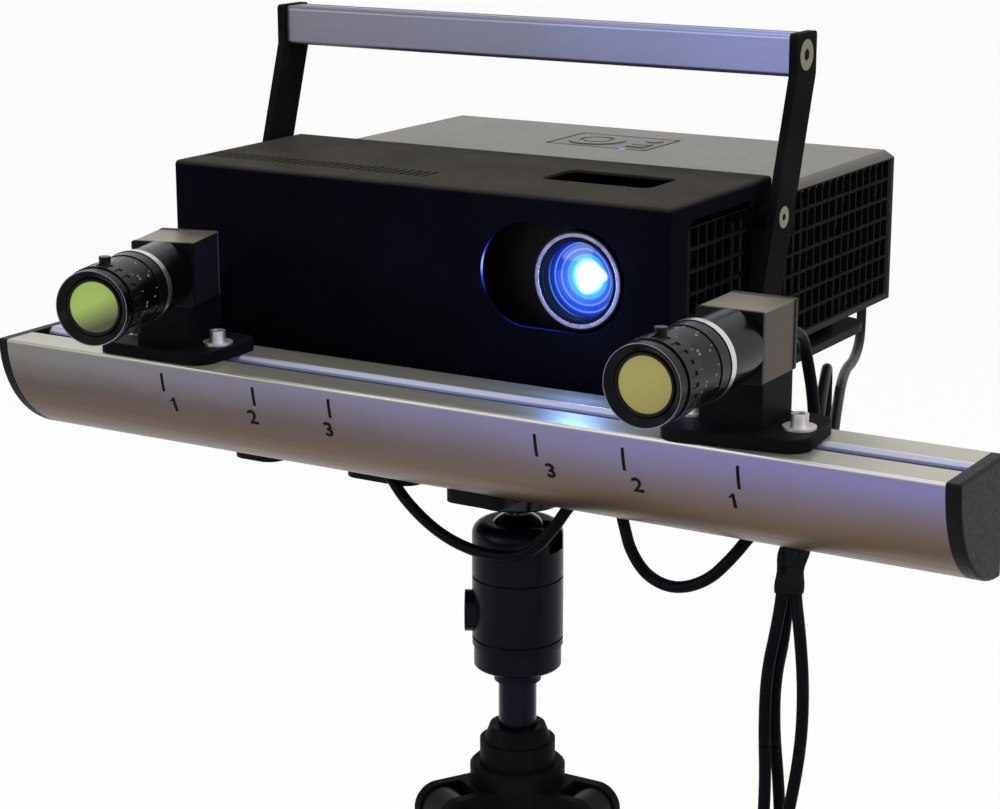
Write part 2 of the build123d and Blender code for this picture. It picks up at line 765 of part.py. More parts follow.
# Keypad: one sprung plate with a round pad, a hole for the power button at its corner
keypad = Box(keypad_width, keypad_depth, keypad_thickness, align=TOP)
keypad = fillet(keypad.edges().filter_by(Axis.Z), 1.5)
pad_x = -keypad_width / 2 + keypad_ring
keypad = keypad + Pos(pad_x, 0, 0) * (rod(2 * keypad_ring - 6, 0.5) - rod(keypad_ring, 0.5))
keypad = keypad + Pos(pad_x, 0, 0) * rod(keypad_ring - 4, 0.5)
power_x = keypad_width / 2 - power_size
power_y = keypad_depth / 2 - power_size
keypad = keypad - Pos(power_x, power_y, 1) * Cylinder(power_size / 2 + running_gap, 4 * keypad_thickness)
for y in (-10, -3):
    keypad = keypad + Pos(power_x, y, 0) * Box(10, 4.5, 0.5, align=BOTTOM)
keep("keypad_pad", keypad_place * keypad, place=scanner_place)
power_height = keypad_thickness + 0.5
power = Pos(power_x, power_y, -keypad_thickness) * rod(power_size, power_height)
power = fillet(power.edges().sort_by(Axis.Z)[-1], 0.4)
keep("power_button", keypad_place * power, place=scanner_place)

# Rear panel with the power inlet and the video socket
panel = block(projector_left, projector_right, grille_y1, projector_rear, tray_top, cover_bottom)
inlet = block(
    inlet_centre - inlet_width / 2 - inlet_wall,
    inlet_centre + inlet_width / 2 + inlet_wall,
    projector_rear - inlet_depth - inlet_wall,
    projector_rear,
    inlet_level - inlet_height / 2 - inlet_wall,
    inlet_level + inlet_height / 2 + inlet_wall,
)
cup = block(
    inlet_centre - inlet_width / 2,
    inlet_centre + inlet_width / 2,
    projector_rear - inlet_depth,
    projector_rear + 1,
    inlet_level - inlet_height / 2,
    inlet_level + inlet_height / 2,
)
cup = chamfer(cup.edges().filter_by(Axis.Y).group_by(Axis.Z)[-1], 4)
panel = panel + inlet - cup
shell_width = video_width - 6
shell_height = video_height - 6
panel = panel - block(
    video_centre - shell_width / 2 - fixed_gap,
    video_centre + shell_width / 2 + fixed_gap,
    grille_y1 - 1,
    projector_rear + 1,
    video_level - shell_height / 2 - fixed_gap,
    video_level + shell_height / 2 + fixed_gap,
)
keep("rear_panel", panel, place=scanner_place)

# Video plug on the rear panel
plug_rear = projector_rear + video_length
grip = block(
    video_centre - video_width / 2,
    video_centre + video_width / 2,
    projector_rear,
    plug_rear - 8,
    video_level - video_height / 2,
    video_level + video_height / 2,
)
grip = fillet(grip.edges().filter_by(Axis.Y), 2)
tail = Pos(video_centre, plug_rear - 8, video_level) * Rot(-90, 0, 0)
grip = grip + tail * Cone(video_height / 2, cable_size / 2 + 1, 8, align=BOTTOM)
shell = block(
    video_centre - shell_width / 2,
    video_centre + shell_width / 2,
    projector_rear - video_shell,
    projector_rear,
    video_level - shell_height / 2,
    video_level + shell_height / 2,
)
keep("projector_video_plug", grip + shell, place=scanner_place)
cord_nodes.append("projector_video_plug")

# Projector lens: its axis runs forward from the light engine
barrel_back = Pos(lens_offset, projector_barrel_rear, lens_level) * Rot(90, 0, 0)
reach = projector_barrel_rear - hood_front
lens_tube = rod(projector_barrel, reach - 0.5)
ring_size_inner = projector_barrel - 2 * projector_ring_neck
neck_start = reach - projector_ring_length
lens_tube = lens_tube - Pos(0, 0, neck_start) * (rod(60, 60) - rod(ring_size_inner, 60))
flange_start = projector_barrel_rear - projector_front
lens_tube = lens_tube + Pos(0, 0, flange_start) * rod(projector_flange, neck_start - flange_start)
lens_tube = lens_tube - rod(20, reach)
glass_front = reach - 3
glass_back = glass_front - projector_glass_thickness
for share, size in ((0.55, 24), (0.7, 28), (0.82, 31)):
    lens_tube = lens_tube - Pos(0, 0, reach * share) * rod(size, reach)
lens_tube = lens_tube - Pos(0, 0, glass_back) * rod(projector_glass_size + 2 * fixed_gap, reach)
keep("projector_lens_barrel", barrel_back * lens_tube, place=scanner_place)
focus_hole = rod(ring_size_inner + 2 * running_gap, reach)
lens_focus = rod(projector_ring, projector_ring_length - running_gap) - focus_hole
lens_focus = lens_focus - PolarLocations(projector_ring / 2, 24) * Box(1, 1.6, 8)
keep("projector_focus_ring", barrel_back * Pos(0, 0, neck_start + running_gap) * lens_focus, place=scanner_place)
glass = Pos(0, 0, glass_back) * rod(projector_glass_size, projector_glass_thickness)
glass = glass & Pos(0, 0, glass_front - projector_dome) * Sphere(projector_dome)
keep("projector_glass", barrel_back * glass, place=scanner_place)

# Light engine: the finned block behind the lens, on the tray
engine_front = projector_barrel_rear
engine_rear = engine_front + engine_depth
engine = block(engine_left, engine_right, engine_front, engine_rear, tray_top, engine_top)
fins = GridLocations(engine_fin_pitch, 1, 8, 1) * Box(engine_fin_pitch / 2, engine_depth * 0.6, engine_fin_height)
fin_middle = (engine_left + engine_right) / 2
engine = engine - Pos(fin_middle, engine_rear - engine_depth * 0.3, engine_top) * Compound(children=fins)
keep("light_engine", engine, place=scanner_place)

# Quick-release plate under the bracket
release = block(release_left, release_right, release_front, release_rear, release_bottom, bracket_bottom)
release = fillet(release.edges().filter_by(Axis.Z), release_corner)
keep("release_plate", release, place=scanner_place)

# Ball head, about the column axis
head_place = Pos(0, 0, rail_top)
platform_bottom = release_bottom - platform_thickness
ball_centre = -ball_drop
platform = Pos(0, 0, platform_bottom) * rod(platform_size, platform_thickness)
platform = chamfer(platform.edges().sort_by(Axis.Z)[0], 1)
stem = Pos(0, 0, ball_centre) * rod(stem_size, platform_bottom - ball_centre + 1)
ball = Pos(0, 0, ball_centre) * Sphere(ball_size / 2)
keep("head_ball", platform + stem + ball, place=head_place)

housing_height = housing_top - housing_bottom
housing = Pos(0, 0, housing_bottom) * rod(housing_size, housing_height)
housing = fillet(housing.edges().sort_by(Axis.Z)[-1], housing_shoulder)
for level in (housing_upper_band, housing_lower_band):
    band = Pos(0, 0, level) * (rod(housing_size + 2, housing_groove) - rod(housing_size - 1.6, housing_groove))
    housing = housing - band
housing = housing - Pos(0, 0, ball_centre) * Sphere(ball_size / 2 + running_gap)
notch = Pos(0, 0, ball_centre) * Box(housing_size, drop_notch, 40, align=(Align.MIN, Align.CENTER, Align.MIN))
housing = housing - notch
knob_place = Rot(0, 0, knob_azimuth) * Pos(housing_size / 2 - knob_recess, 0, knob_level) * Rot(0, 90, 0)
housing = housing - knob_place * rod(knob_size + 2 * running_gap, 20)
housing = housing - knob_place * Cylinder(knob_shaft / 2 + running_gap, knob_hole_depth + 0.5, align=TOP)
housing = housing + Pos(0, 0, housing_bottom - spigot_length) * rod(spigot_size, spigot_length)
keep("head_housing", housing, place=head_place)

knob = Pos(0, 0, running_gap) * rod(knob_size, knob_thickness)
knob = knob - Pos(0, 0, knob_thickness + running_gap) * extrude(SlotOverall(12, 2.4), amount=-1.4)
knob = knob + Cylinder(knob_shaft / 2, knob_hole_depth, align=TOP) + Cylinder(knob_shaft / 2, 1)
keep("head_knob", knob_place * knob, place=head_place)

ring_top = housing_bottom - running_gap
ring_bottom = ring_top - base_ring_height
pan_base = Pos(0, 0, ring_bottom) * rod(base_ring_size, base_ring_height)
pan_base = chamfer(pan_base.edges().group_by(Axis.Z)[0], 0.8)
collar_bottom = ring_bottom - collar_height
pan_base = pan_base + Pos(0, 0, collar_bottom) * rod(collar_size, collar_height)
spigot_bore = spigot_size + 2 * running_gap
pan_base = pan_base - Pos(0, 0, ring_top) * Cylinder(spigot_bore / 2, spigot_length + running_gap, align=TOP)
column_top = ring_bottom + 2
collar_bore = Cylinder(column_size / 2 + fixed_gap, column_top - collar_bottom, align=BOTTOM)
pan_base = pan_base - Pos(0, 0, collar_bottom) * collar_bore
keep("head_base", pan_base, place=head_place)

# Centre column: a round tube that slides through the nut and the spider
column = Pos(0, 0, column_top - column_length) * rod(column_size, column_length)
column = column - Pos(0, 0, column_top - column_length - 1) * rod(column_size - 2 * column_wall, column_length - 9)
keep("centre_column", column, place=head_place)

# Clamp nut on the spider: conical top, flats round the rim
column_bore = column_size + 2 * running_gap
nut = Cylinder(nut_size / 2, nut_height * 0.6, align=BOTTOM)
nut = nut & extrude(RegularPolygon(nut_flat / math.sqrt(3), 6), amount=nut_height)
cone_base = nut_height * 0.6
nut = nut + Pos(0, 0, cone_base) * Cone(nut_cone / 2, column_size / 2 + 4, nut_height - cone_base, align=BOTTOM)
nut = nut - rod(column_bore, nut_height)
keep("column_nut", Pos(0, 0, rail_top - spider_top_drop) * nut)

# Spider: three forked lugs round a sleeve
spider_top = rail_top - spider_top_drop
spider = Pos(0, 0, spider_top) * Cylinder(spider_core / 2, spider_height, align=TOP)
spider = chamfer(spider.edges().group_by(Axis.Z)[-1], 1.5)
fork_width = eye_width + 2 * running_gap + 2 * cheek_thickness
fork = Pos(pivot_radius, 0, pivot_height) * Rot(90, 0, 0) * Cylinder(cheek_size / 2, fork_width)
fork = fork + Pos(0, 0, pivot_height) * Box(
    pivot_radius, fork_width, cheek_size, align=(Align.MIN, Align.CENTER, Align.CENTER)
)
eye_clearance = eye_size / 2 + running_gap
fork_slot = Pos(pivot_radius - eye_clearance, 0, pivot_height) * Box(
    2 * cheek_size, eye_width + 2 * running_gap, 3 * cheek_size, align=(Align.MIN, Align.CENTER, Align.CENTER)
)
bolt_hole = Pos(pivot_radius, 0, pivot_height) * Rot(90, 0, 0) * Cylinder(pivot_bolt / 2 + fixed_gap, fork_width)
leg_angles = (0, 120, -120)
for angle in leg_angles:
    spider = spider + Rot(0, 0, angle) * fork
for angle in leg_angles:
    spider = spider - Rot(0, 0, angle) * fork_slot - Rot(0, 0, angle) * bolt_hole
spider = spider - rod(column_bore, rail_top)
keep("spider", spider)

bolt = Cylinder(pivot_bolt / 2, fork_width)
for end in (-1, 1):
    head_shift = end * (fork_width / 2 + pivot_head_height / 2)
    bolt = bolt + Pos(0, 0, head_shift) * Cylinder(pivot_head / 2, pivot_head_height)
bolt = bolt - Pos(0, 0, fork_width / 2 + pivot_head_height) * hex_socket(6, 2)
bolt_place = Pos(pivot_radius, 0, pivot_height) * Rot(90, 0, 0)
keep("leg_pivot_bolts", *[Rot(0, 0, angle) * bolt_place * bolt for angle in leg_angles])

# Legs: built hanging from the pivot, then spread
foot_level = rubber_foot / 2 - foot_flat
foot_reach = (pivot_height - foot_level) / math.cos(math.radians(spread_angle))
leg_tube_end = foot_reach - leg_tube_rise
leg_eye = Rot(90, 0, 0) * Cylinder(eye_size / 2, eye_width)
leg_upper = leg_eye + Cylinder(eye_width / 2 - 1, 14, align=TOP)
upper_start = eye_size / 2 + 2
leg_upper = leg_upper + Pos(0, 0, -upper_start) * Cylinder(leg_tube / 2, leg_tube_end - upper_start, align=TOP)
leg_upper = leg_upper + Pos(0, 0, -leg_tube_end - 5) * Cylinder(leg_collar / 2, leg_collar_length, align=BOTTOM)
leg_bore = leg_tube - 2 * leg_wall
leg_upper = leg_upper - Pos(0, 0, -upper_start - 8) * Cylinder(leg_bore / 2, leg_tube_end, align=TOP)
leg_upper = leg_upper - Rot(90, 0, 0) * Cylinder(pivot_bolt / 2 + running_gap, eye_width + 1)
lower_size = leg_bore - 2 * running_gap
lower_length = foot_reach - rubber_foot / 4 - lower_tube_start
leg_lower = Pos(0, 0, -lower_tube_start) * Cylinder(lower_size / 2, lower_length, align=TOP)
for number, angle in enumerate(leg_angles, start=1):
    leg_place = Rot(0, 0, angle) * Pos(pivot_radius, 0, pivot_height) * Rot(0, -spread_angle, 0)
    keep(f"leg_upper_{number}", leg_place * leg_upper)
    foot = leg_place * Pos(0, 0, -foot_reach) * Sphere(rubber_foot / 2)
    foot = foot & Box(4 * pivot_height, 4 * pivot_height, pivot_height, align=BOTTOM)
    foot = foot - leg_place * leg_lower
    keep(f"leg_lower_{number}", leg_place * leg_lower, foot)


def cord_path(points):
    """Straight runs joined by arcs as large as the shorter run at each point allows."""
    radii = []
    for before, at_point, after in zip(points, points[1:], points[2:]):
        turn = (at_point - before).get_angle(after - at_point)
        run = min((at_point - before).length, (after - at_point).length)
        radii.append(0.45 * run / math.tan(math.radians(turn) / 2))
    return FilletPolyline(*points, radius=radii), radii


def cord_tube(name, points):
    """A plain round tube along one free stretch of cable."""
    path, radii = cord_path(points)
    tube = sweep(Plane(origin=path @ 0, z_dir=path % 0) * Circle(cable_size / 2), path=path)
    keep(name, tube)
    cord_nodes.append(name)
    expected = math.pi * cable_size**2 / 4 * path.length
    share = tube.volume / expected
    print(name, "length", round(path.length), "volume share", round(share, 4))
    print("  radii", [round(radius, 1) for radius in radii])


def coil_route(start, side):
    """Half turns that spiral in on the floor, climb one layer and spiral out again."""
    layer = cable_size + coil_gap
    steps = coil_half_turns // 2
    arcs = []
    point = Vector(start.X, start.Y - cable_size, start.Z)
    edges = [Line(start, point)]
    way = Vector(0, -1, 0)
    for number in range(coil_half_turns):
        radius = coil_radius - layer / 2 * (steps - abs(steps - number))
        inward = Vector(side if number % 2 == 0 else -side, 0, 0)
        if number == steps:
            rise = layer / (2 * radius)
            inward = inward * math.sqrt(1 - rise**2) + Vector(0, 0, rise)
        centre = point + inward * radius
        middle = centre + way * radius
        far = centre + inward * radius
        edges.append(ThreePointArc(point, middle, far))
        point = far
        way = way * -1
        arcs.append(radius)
    edges.append(Line(point, point + way * cable_size))
    return edges, point + way * cable_size


def coil_tube(name, start, side):
    """A loose coil in two layers, one unbroken tube with straight ends."""
    edges, end = coil_route(start, side)
    path = Wire(edges)
    tube = sweep(Plane(origin=start, z_dir=(0, -1, 0)) * Circle(cable_size / 2), path=path)
    keep(name, tube)
    cord_nodes.append(name)
    steps = 400
    marks = [path @ (step / steps) for step in range(steps + 1)]
    apart = round(4 * cable_size / path.length * steps)
    least = min(
        (first - second).length
        for place, first in enumerate(marks)
        for second in marks[place + apart:]
    )
    print(name, "length", round(path.length), "least gap", round(least - cable_size, 2))
    return end


def over(x, y, z):
    """A cable point given from the rail's top front edge and middle."""
    return Vector(x, y - column_setback, z + rail_top)


def leave(place, forward, down):
    """A cable point given from a plug's end: how far straight out, and how far down."""
    point = (place * Pos(0, 0, forward)).position
    return point - Vector(0, 0, down)


floor_level = cable_size / 2 + floor_gap
left_coil_start = Vector(122, -78, floor_level)
right_coil_start = Vector(157, -80, floor_level)
video_coil_start = Vector(139.5, -178, floor_level)

left_points = [
    leave(left_exit, 0, 0),
    leave(left_exit, 4.5, 0),
    leave(left_exit, 10.6, 3.5),
    leave(left_exit, 14, 9.6),
    over(-155.5, 61.5, 8),
    over(-155, 60.5, -12),
    over(-151, 58, -28),
    over(-139, 55.5, -38),
    over(-121, 54.5, -42),
    over(-98, 54, -42.5),
    over(-74, 53.5, -40.5),
    over(-58, 53.5, -42.5),
    over(-46, 52.5, -51),
    over(-36, 50.5, -64),
    over(-21, 48.5, -74),
    over(-3, 48, -77.5),
    over(15, 48.5, -76),
    over(26, 49.6, -71),
    over(33.8, 51.2, -62),
    over(40.2, 53, -52.8),
    over(46, 54.3, -46.6),
    over(53.8, 55.7, -43.8),
    over(61.9, 56, -44.8),
    over(68.8, 55.2, -49.3),
    over(73.8, 53.8, -57.5),
    over(79, 51.8, -67),
    over(87.5, 50.3, -75.5),
    over(99, 50, -78.3),
    over(110.5, 51.3, -73),
    over(118.5, 54.5, -63),
    over(123.5, 61.5, -54),
    over(125, 77, -50),
    over(122.5, 105, -51),
    over(116, 140, -54),
    over(106, 172, -57),
    over(95, 200, -58),
    over(86.9, 220.4, -58.3),
    over(81.7, 233.4, -58.7),
    over(78.2, 242.1, -51.9),
    over(76.9, 245.4, -41),
    over(78.2, 242.1, -30.1),
    over(81.7, 233.4, -23.3),
    over(87, 220, -21.5),
    over(97, 192, -27),
    over(110, 158, -37),
    over(121, 124, -45),
    over(129, 98, -51),
    over(134, 80, -56),
    over(137.5, 67.5, -63),
    over(139.4, 60.8, -75),
    over(137.5, 59.5, -93),
    over(133.5, 58.5, -113),
    over(134, 56.5, -137),
    over(137, 53, -160),
    over(138.5, 47, -190),
    over(136, 41, -230),
    Vector(133, -40.5, 330),
    Vector(131.5, -43, 275),
    Vector(128.5, -43.5, 215),
    Vector(126.5, -42, 155),
    Vector(123, -41, 100),
    Vector(122.5, -42.5, 58),
    Vector(122, -46.5, 30),
    Vector(122, -53, 11),
    Vector(122, -63.5, floor_level),
    left_coil_start,
]
right_points = [
    leave(right_exit, 0, 0),
    leave(right_exit, 9.3, 0),
    leave(right_exit, 17.6, 4.8),
    leave(right_exit, 22.4, 13.1),
    over(139.5, 84.5, 2),
    over(141, 83.5, -16),
    over(142.3, 80.5, -34),
    over(143, 76, -51),
    over(143, 71.5, -66),
    over(142.6, 67.5, -82),
    over(141.5, 66.3, -99),
    over(139.5, 66, -118),
    over(141, 64, -140),
    over(144, 60, -165),
    over(145, 54, -200),
    over(147, 47, -245),
    Vector(150, -36, 310),
    Vector(155, -40.5, 255),
    Vector(157.5, -41.5, 200),
    Vector(157, -41, 145),
    Vector(158.5, -42.5, 95),
    Vector(157.5, -44, 57),
    Vector(157, -48, 30),
    Vector(157, -55, 11),
    Vector(157, -65.5, floor_level),
    right_coil_start,
]
video_points = [
    over(video_centre, plug_rear, video_level),
    over(video_centre, plug_rear + 9, video_level),
    over(video_centre + 0.5, plug_rear + 18, video_level - 4.5),
    over(video_centre + 1, plug_rear + 23.5, video_level - 13),
    over(42.5, 369.5, -8),
    over(46, 361, -25),
    over(53, 343, -36),
    over(62, 314, -39),
    over(72, 280, -35),
    over(84, 246, -33),
    over(98, 208, -37),
    over(113, 168, -43),
    over(128, 130, -48),
    over(140.5, 102, -51),
    over(148.5, 83, -56),
    over(149.5, 69, -63),
    over(146.3, 60.8, -76),
    over(146.5, 59.8, -93),
    over(150.5, 59, -118),
    over(149.5, 56.5, -145),
    over(147.5, 50, -180),
    over(143.5, 40, -225),
    Vector(140.5, -45, 340),
    Vector(140, -50, 285),
    Vector(142, -52, 225),
    Vector(140.5, -52, 165),
    Vector(139, -53, 108),
    Vector(140, -56, 62),
    Vector(139.5, -63, 32),
    Vector(139.5, -75, 12),
    Vector(139.5, -91, floor_level),
    Vector(138.8, -112, floor_level),
    Vector(140.2, -134, floor_level),
    Vector(139.5, -156, floor_level),
    video_coil_start,
]
cord_tube("left_camera_cable", left_points)
cord_tube("right_camera_cable", right_points)
cord_tube("video_cable", video_points)
left_end = coil_tube("left_camera_coil", left_coil_start, -1)
right_end = coil_tube("right_camera_coil", right_coil_start, 1)
video_end = coil_tube("video_coil", video_coil_start, 1)

# Far plugs: a slim boot, a round grip that lies on the floor, and a metal shell
grip_radius = left_end.Z - floor_gap
far_plug = rod(far_boot_size, far_boot_length + 1)
far_plug = far_plug + Pos(0, 0, far_boot_length) * rod(2 * grip_radius, far_grip_length)
far_plug = far_plug + Pos(0, 0, far_boot_length + far_grip_length) * rod(2 * grip_radius - 4, far_shell_length)
far_plug = far_plug - Pos(0, 0, far_boot_length + far_grip_length + 2) * rod(2 * grip_radius - 6, far_shell_length)
far_plugs = [Pos(end.X, end.Y, end.Z) * Rot(90, 0, 0) * far_plug for end in (left_end, right_end, video_end)]
keep("cable_far_plugs", *far_plugs)
cord_nodes.append("cable_far_plugs")

# The floor is at zero, and the middle of the object, its cables apart, is over the origin
whole = Compound([solid for name, shape in nodes.items() if name not in cord_nodes for solid in shape.solids()])
corners = whole.bounding_box()
middle_x = (corners.min.X + corners.max.X) / 2
middle_y = (corners.min.Y + corners.max.Y) / 2
centring = Pos(-middle_x, -middle_y, 0)
print("pieces", len(nodes), "shift", round(-middle_x, 4), round(-middle_y, 4), "floor", round(corners.min.Z, 4))
for name, shape in nodes.items():
    export_step(centring * shape, f"parts/{name}.step")
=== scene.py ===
"""Looks of a structured-light scanner on its tripod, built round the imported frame."""
import math

import bpy
from mathutils import Matrix, Vector


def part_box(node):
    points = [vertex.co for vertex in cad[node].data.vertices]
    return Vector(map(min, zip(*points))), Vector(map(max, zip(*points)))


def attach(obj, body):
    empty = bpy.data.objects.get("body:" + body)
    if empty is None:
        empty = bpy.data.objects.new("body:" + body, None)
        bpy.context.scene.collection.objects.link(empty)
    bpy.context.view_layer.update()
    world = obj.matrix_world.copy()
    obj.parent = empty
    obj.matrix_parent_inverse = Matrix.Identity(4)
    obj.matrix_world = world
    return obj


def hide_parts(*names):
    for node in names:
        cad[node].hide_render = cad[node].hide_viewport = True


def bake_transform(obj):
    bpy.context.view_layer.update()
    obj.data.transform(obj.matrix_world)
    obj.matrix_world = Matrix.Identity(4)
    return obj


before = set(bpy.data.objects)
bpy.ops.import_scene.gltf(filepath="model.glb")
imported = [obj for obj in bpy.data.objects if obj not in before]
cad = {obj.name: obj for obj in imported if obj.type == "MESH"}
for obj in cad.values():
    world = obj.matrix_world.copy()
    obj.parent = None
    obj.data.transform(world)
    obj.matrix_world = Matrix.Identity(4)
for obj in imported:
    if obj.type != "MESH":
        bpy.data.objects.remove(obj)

scene = bpy.context.scene
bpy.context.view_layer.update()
rail_low, rail_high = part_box("rail")

# Camera
# It stands a little to the right of the rail and above it, as the photograph's did,
# and looks down by about fifteen degrees.
eye = Vector((0.530221, -0.918586, 0.859673))
to_right = Vector((0.8567366, 0.5157531, -0.0010164))
to_top = Vector((-0.1289991, 0.2161924, 0.9677913))
to_back = Vector((0.4993611, -0.8290112, 0.2517517))
view = bpy.data.cameras.new("view")
view.sensor_width = 36
view.lens = 86.79
view.clip_start = 0.05
view.clip_end = 60
viewer = bpy.data.objects.new("viewer", view)
scene.collection.objects.link(viewer)
turned_frame = Matrix((to_right, to_top, to_back)).transposed().to_4x4()
viewer.matrix_world = Matrix.Translation(eye) @ turned_frame
scene.camera = viewer

# Cables
# Two camera cables and the projector's video cable: round, black, soft plastic over copper.
# They hang behind the rail, meet in a tied bundle, go down beside the legs and end on the
# floor in loose coils, each with its plug.
cable_size = 0.0052
cable_sides = 14


def on_rail(x, y, z):
    """A place in millimetres from the middle of the rail's top front edge."""
    return Vector((x / 1000, rail_low.y + y / 1000, rail_high.z + z / 1000))


def on_floor(x, y, z):
    """A place in millimetres from the foot of the column's axis."""
    return Vector((x / 1000, rail_low.y + (y + 78) / 1000, z / 1000))


def places(kind, spots):
    """The places of some spots, all on the rail's scale or all on the floor's."""
    return [kind(*spot) for spot in spots]


def ink(code):
    """A colour from its six-figure code."""
    parts = [int(code[at:at + 2], 16) / 255 for at in (0, 2, 4)]
    return tuple(p / 12.92 if p < 0.04 else ((p + 0.055) / 1.055) ** 2.4 for p in parts) + (1,)


def add(tree, kind, feeds=(), **settings):
    """One node of a finish, its settings and what goes into its sockets."""
    node = tree.nodes.new(kind)
    for key, value in settings.items():
        setattr(node, key, value)
    for socket, value in dict(feeds).items():
        if isinstance(value, bpy.types.NodeSocket):
            tree.links.new(value, node.inputs[socket])
        else:
            node.inputs[socket].default_value = value
    return node


def begin_finish(name, tone, rough, metal=0.0, shine=0.5):
    """A new material of one tone, with its tree, its shader and the point on the piece."""
    finish = bpy.data.materials.new(name)
    finish.use_nodes = True
    tree = finish.node_tree
    shader = tree.nodes["Principled BSDF"]
    shader.inputs["Base Color"].default_value = ink(tone)
    shader.inputs["Roughness"].default_value = rough
    shader.inputs["Metallic"].default_value = metal
    shader.inputs["Specular IOR Level"].default_value = shine
    return finish, tree, shader, add(tree, "ShaderNodeTexCoord").outputs["Object"]


def feed(shader, socket, value):
    """Join what comes from a node to one of the shader's sockets."""
    shader.id_data.links.new(value, shader.inputs[socket])


def grain(tree, point, each_metre, detail=4, stretch=(1, 1, 1)):
    """Uneven grain, so many to the metre, drawn out along an axis where stretch is small."""
    scale = [each_metre * share for share in stretch]
    spread = add(tree, "ShaderNodeMapping", {"Vector": point, "Scale": scale})
    feeds = {"Vector": spread.outputs[0], "Scale": 1, "Detail": detail}
    return add(tree, "ShaderNodeTexNoise", feeds).outputs[0]


def tones(tree, amount, *stops):
    """A run of tones along an amount from 0 to 1, each stop a place and a colour code."""
    ramp = add(tree, "ShaderNodeValToRGB", {0: amount})
    while len(ramp.color_ramp.elements) < len(stops):
        ramp.color_ramp.elements.new(0.5)
    for element, (place, code) in zip(ramp.color_ramp.elements, stops):
        element.position = place
        element.color = ink(code)
    return ramp.outputs[0]


def spread_between(tree, amount, low, high, start=0.3, end=0.7):
    """An amount that runs from low to high while what feeds it runs from start to end."""
    feeds = {0: amount, 1: start, 2: end, 3: low, 4: high}
    return add(tree, "ShaderNodeMapRange", feeds).outputs[0]


def relief(tree, shader, height, depth, edge=0.0):
    """Raise the surface by a height, over edges that are eased by a small radius."""
    feeds = {"Height": height, "Distance": depth, "Strength": 1}
    if edge:
        feeds["Normal"] = add(tree, "ShaderNodeBevel", {"Radius": edge}, samples=4).outputs[0]
    feed(shader, "Normal", add(tree, "ShaderNodeBump", feeds).outputs[0])


def soft_plastic(name, tone, paler, rough, shine=0.08):
    """Soft plastic: a faint pebble, slightly paler where it was rubbed."""
    finish, tree, shader, point = begin_finish(name, tone, rough, shine=shine)
    rubbed = grain(tree, point, 45, 5)
    feed(shader, "Base Color", tones(tree, rubbed, (0.4, tone), (0.75, paler)))
    feed(shader, "Roughness", spread_between(tree, rubbed, rough + 0.08, rough - 0.06))
    relief(tree, shader, grain(tree, point, 1500, 2), 0.00004)
    return finish


def made_piece(name, points, faces, finish, flat=()):
    """A mesh of one finish, smooth but for the faces whose numbers are in flat."""
    mesh = bpy.data.meshes.new(name)
    mesh.from_pydata(points, [], faces)
    smooth = [True] * len(faces)
    for number in flat:
        smooth[number] = False
    mesh.polygons.foreach_set("use_smooth", smooth)
    mesh.materials.append(finish)
    piece = bpy.data.objects.new(name, mesh)
    scene.collection.objects.link(piece)
    return piece


def skin(rows, closed_ends=True):
    """Faces between loops of the same count, with a face on each end."""
    count = len(rows[0])
    faces = []
    for row in range(len(rows) - 1):
        for number in range(count):
            after = (number + 1) % count
            faces.append((row * count + number, row * count + after,
                          (row + 1) * count + after, (row + 1) * count + number))
    flat = ()
    if closed_ends:
        last = (len(rows) - 1) * count
        faces.append(tuple(reversed(range(count))))
        faces.append(tuple(range(last, last + count)))
        flat = (len(faces) - 2, len(faces) - 1)
    return [point for row in rows for point in row], faces, flat


def dress(finish, *names):
    """Give CAD nodes their finish."""
    for name in names:
        mesh = cad[name].data
        if not mesh.materials:
            mesh.materials.append(finish)
        for number in range(len(mesh.materials)):
            mesh.materials[number] = finish


def cable_line(name, route):
    """Points close together along the smooth line of a cable's route."""
    curve = bpy.data.curves.new(name, "CURVE")
    curve.dimensions = "3D"
    curve.resolution_u = 7
    spline = curve.splines.new("NURBS")
    spline.points.add(len(route) - 1)
    for point, place in zip(spline.points, route):
        point.co = (*place, 1)
    spline.order_u = 3
    spline.use_endpoint_u = True
    bare = bpy.data.objects.new(name, curve)
    mesh = bpy.data.meshes.new_from_object(bare)
    line = [vertex.co.copy() for vertex in mesh.vertices]
    bpy.data.objects.remove(bare)
    bpy.data.meshes.remove(mesh)
    return line


def rings_round(line):
    """A ring of points round each point of a line, turned as little as can be."""
    rings = []
    side = None
    for before, here, after in zip(line[:1] + line, line, line[1:] + line[-1:]):
        along = (after - before).normalized()
        if side is None:
            side = along.orthogonal()
        side = (side - along * side.dot(along)).normalized()
        up = along.cross(side)
        ring = []
        for number in range(cable_sides):
            turn = 2 * math.pi * number / cable_sides
            ring.append(here + (side * math.cos(turn) + up * math.sin(turn)) * cable_size / 2)
        rings.append(ring)
    return rings


coil_radius, coil_narrowing, coil_halves, layer_rise = 0.026, 0.0029, 8, 0.0058


def coil_turns(start, side):
    """Route points of a loose coil: in on the floor, up one layer, out again."""
    steps = 8
    middle = coil_halves // 2
    points = []
    place = start + Vector((0, -cable_size, 0))
    way = Vector((0, -1, 0))
    for half in range(coil_halves):
        radius = coil_radius - coil_narrowing * (middle - abs(middle - half))
        rise = layer_rise / (2 * radius) if half == middle else 0
        outward = side if half % 2 == 0 else -side
        across = Vector((outward * math.sqrt(1 - rise * rise), 0, rise))
        centre = place + across * radius
        swing = radius / math.cos(math.pi / steps / 2)
        for step in range(steps):
            turn = math.pi * (step + 0.5) / steps
            points.append(centre + (way * math.sin(turn) - across * math.cos(turn)) * swing)
        place = centre + across * radius
        way = -way
    return points + [place + way * cable_size]


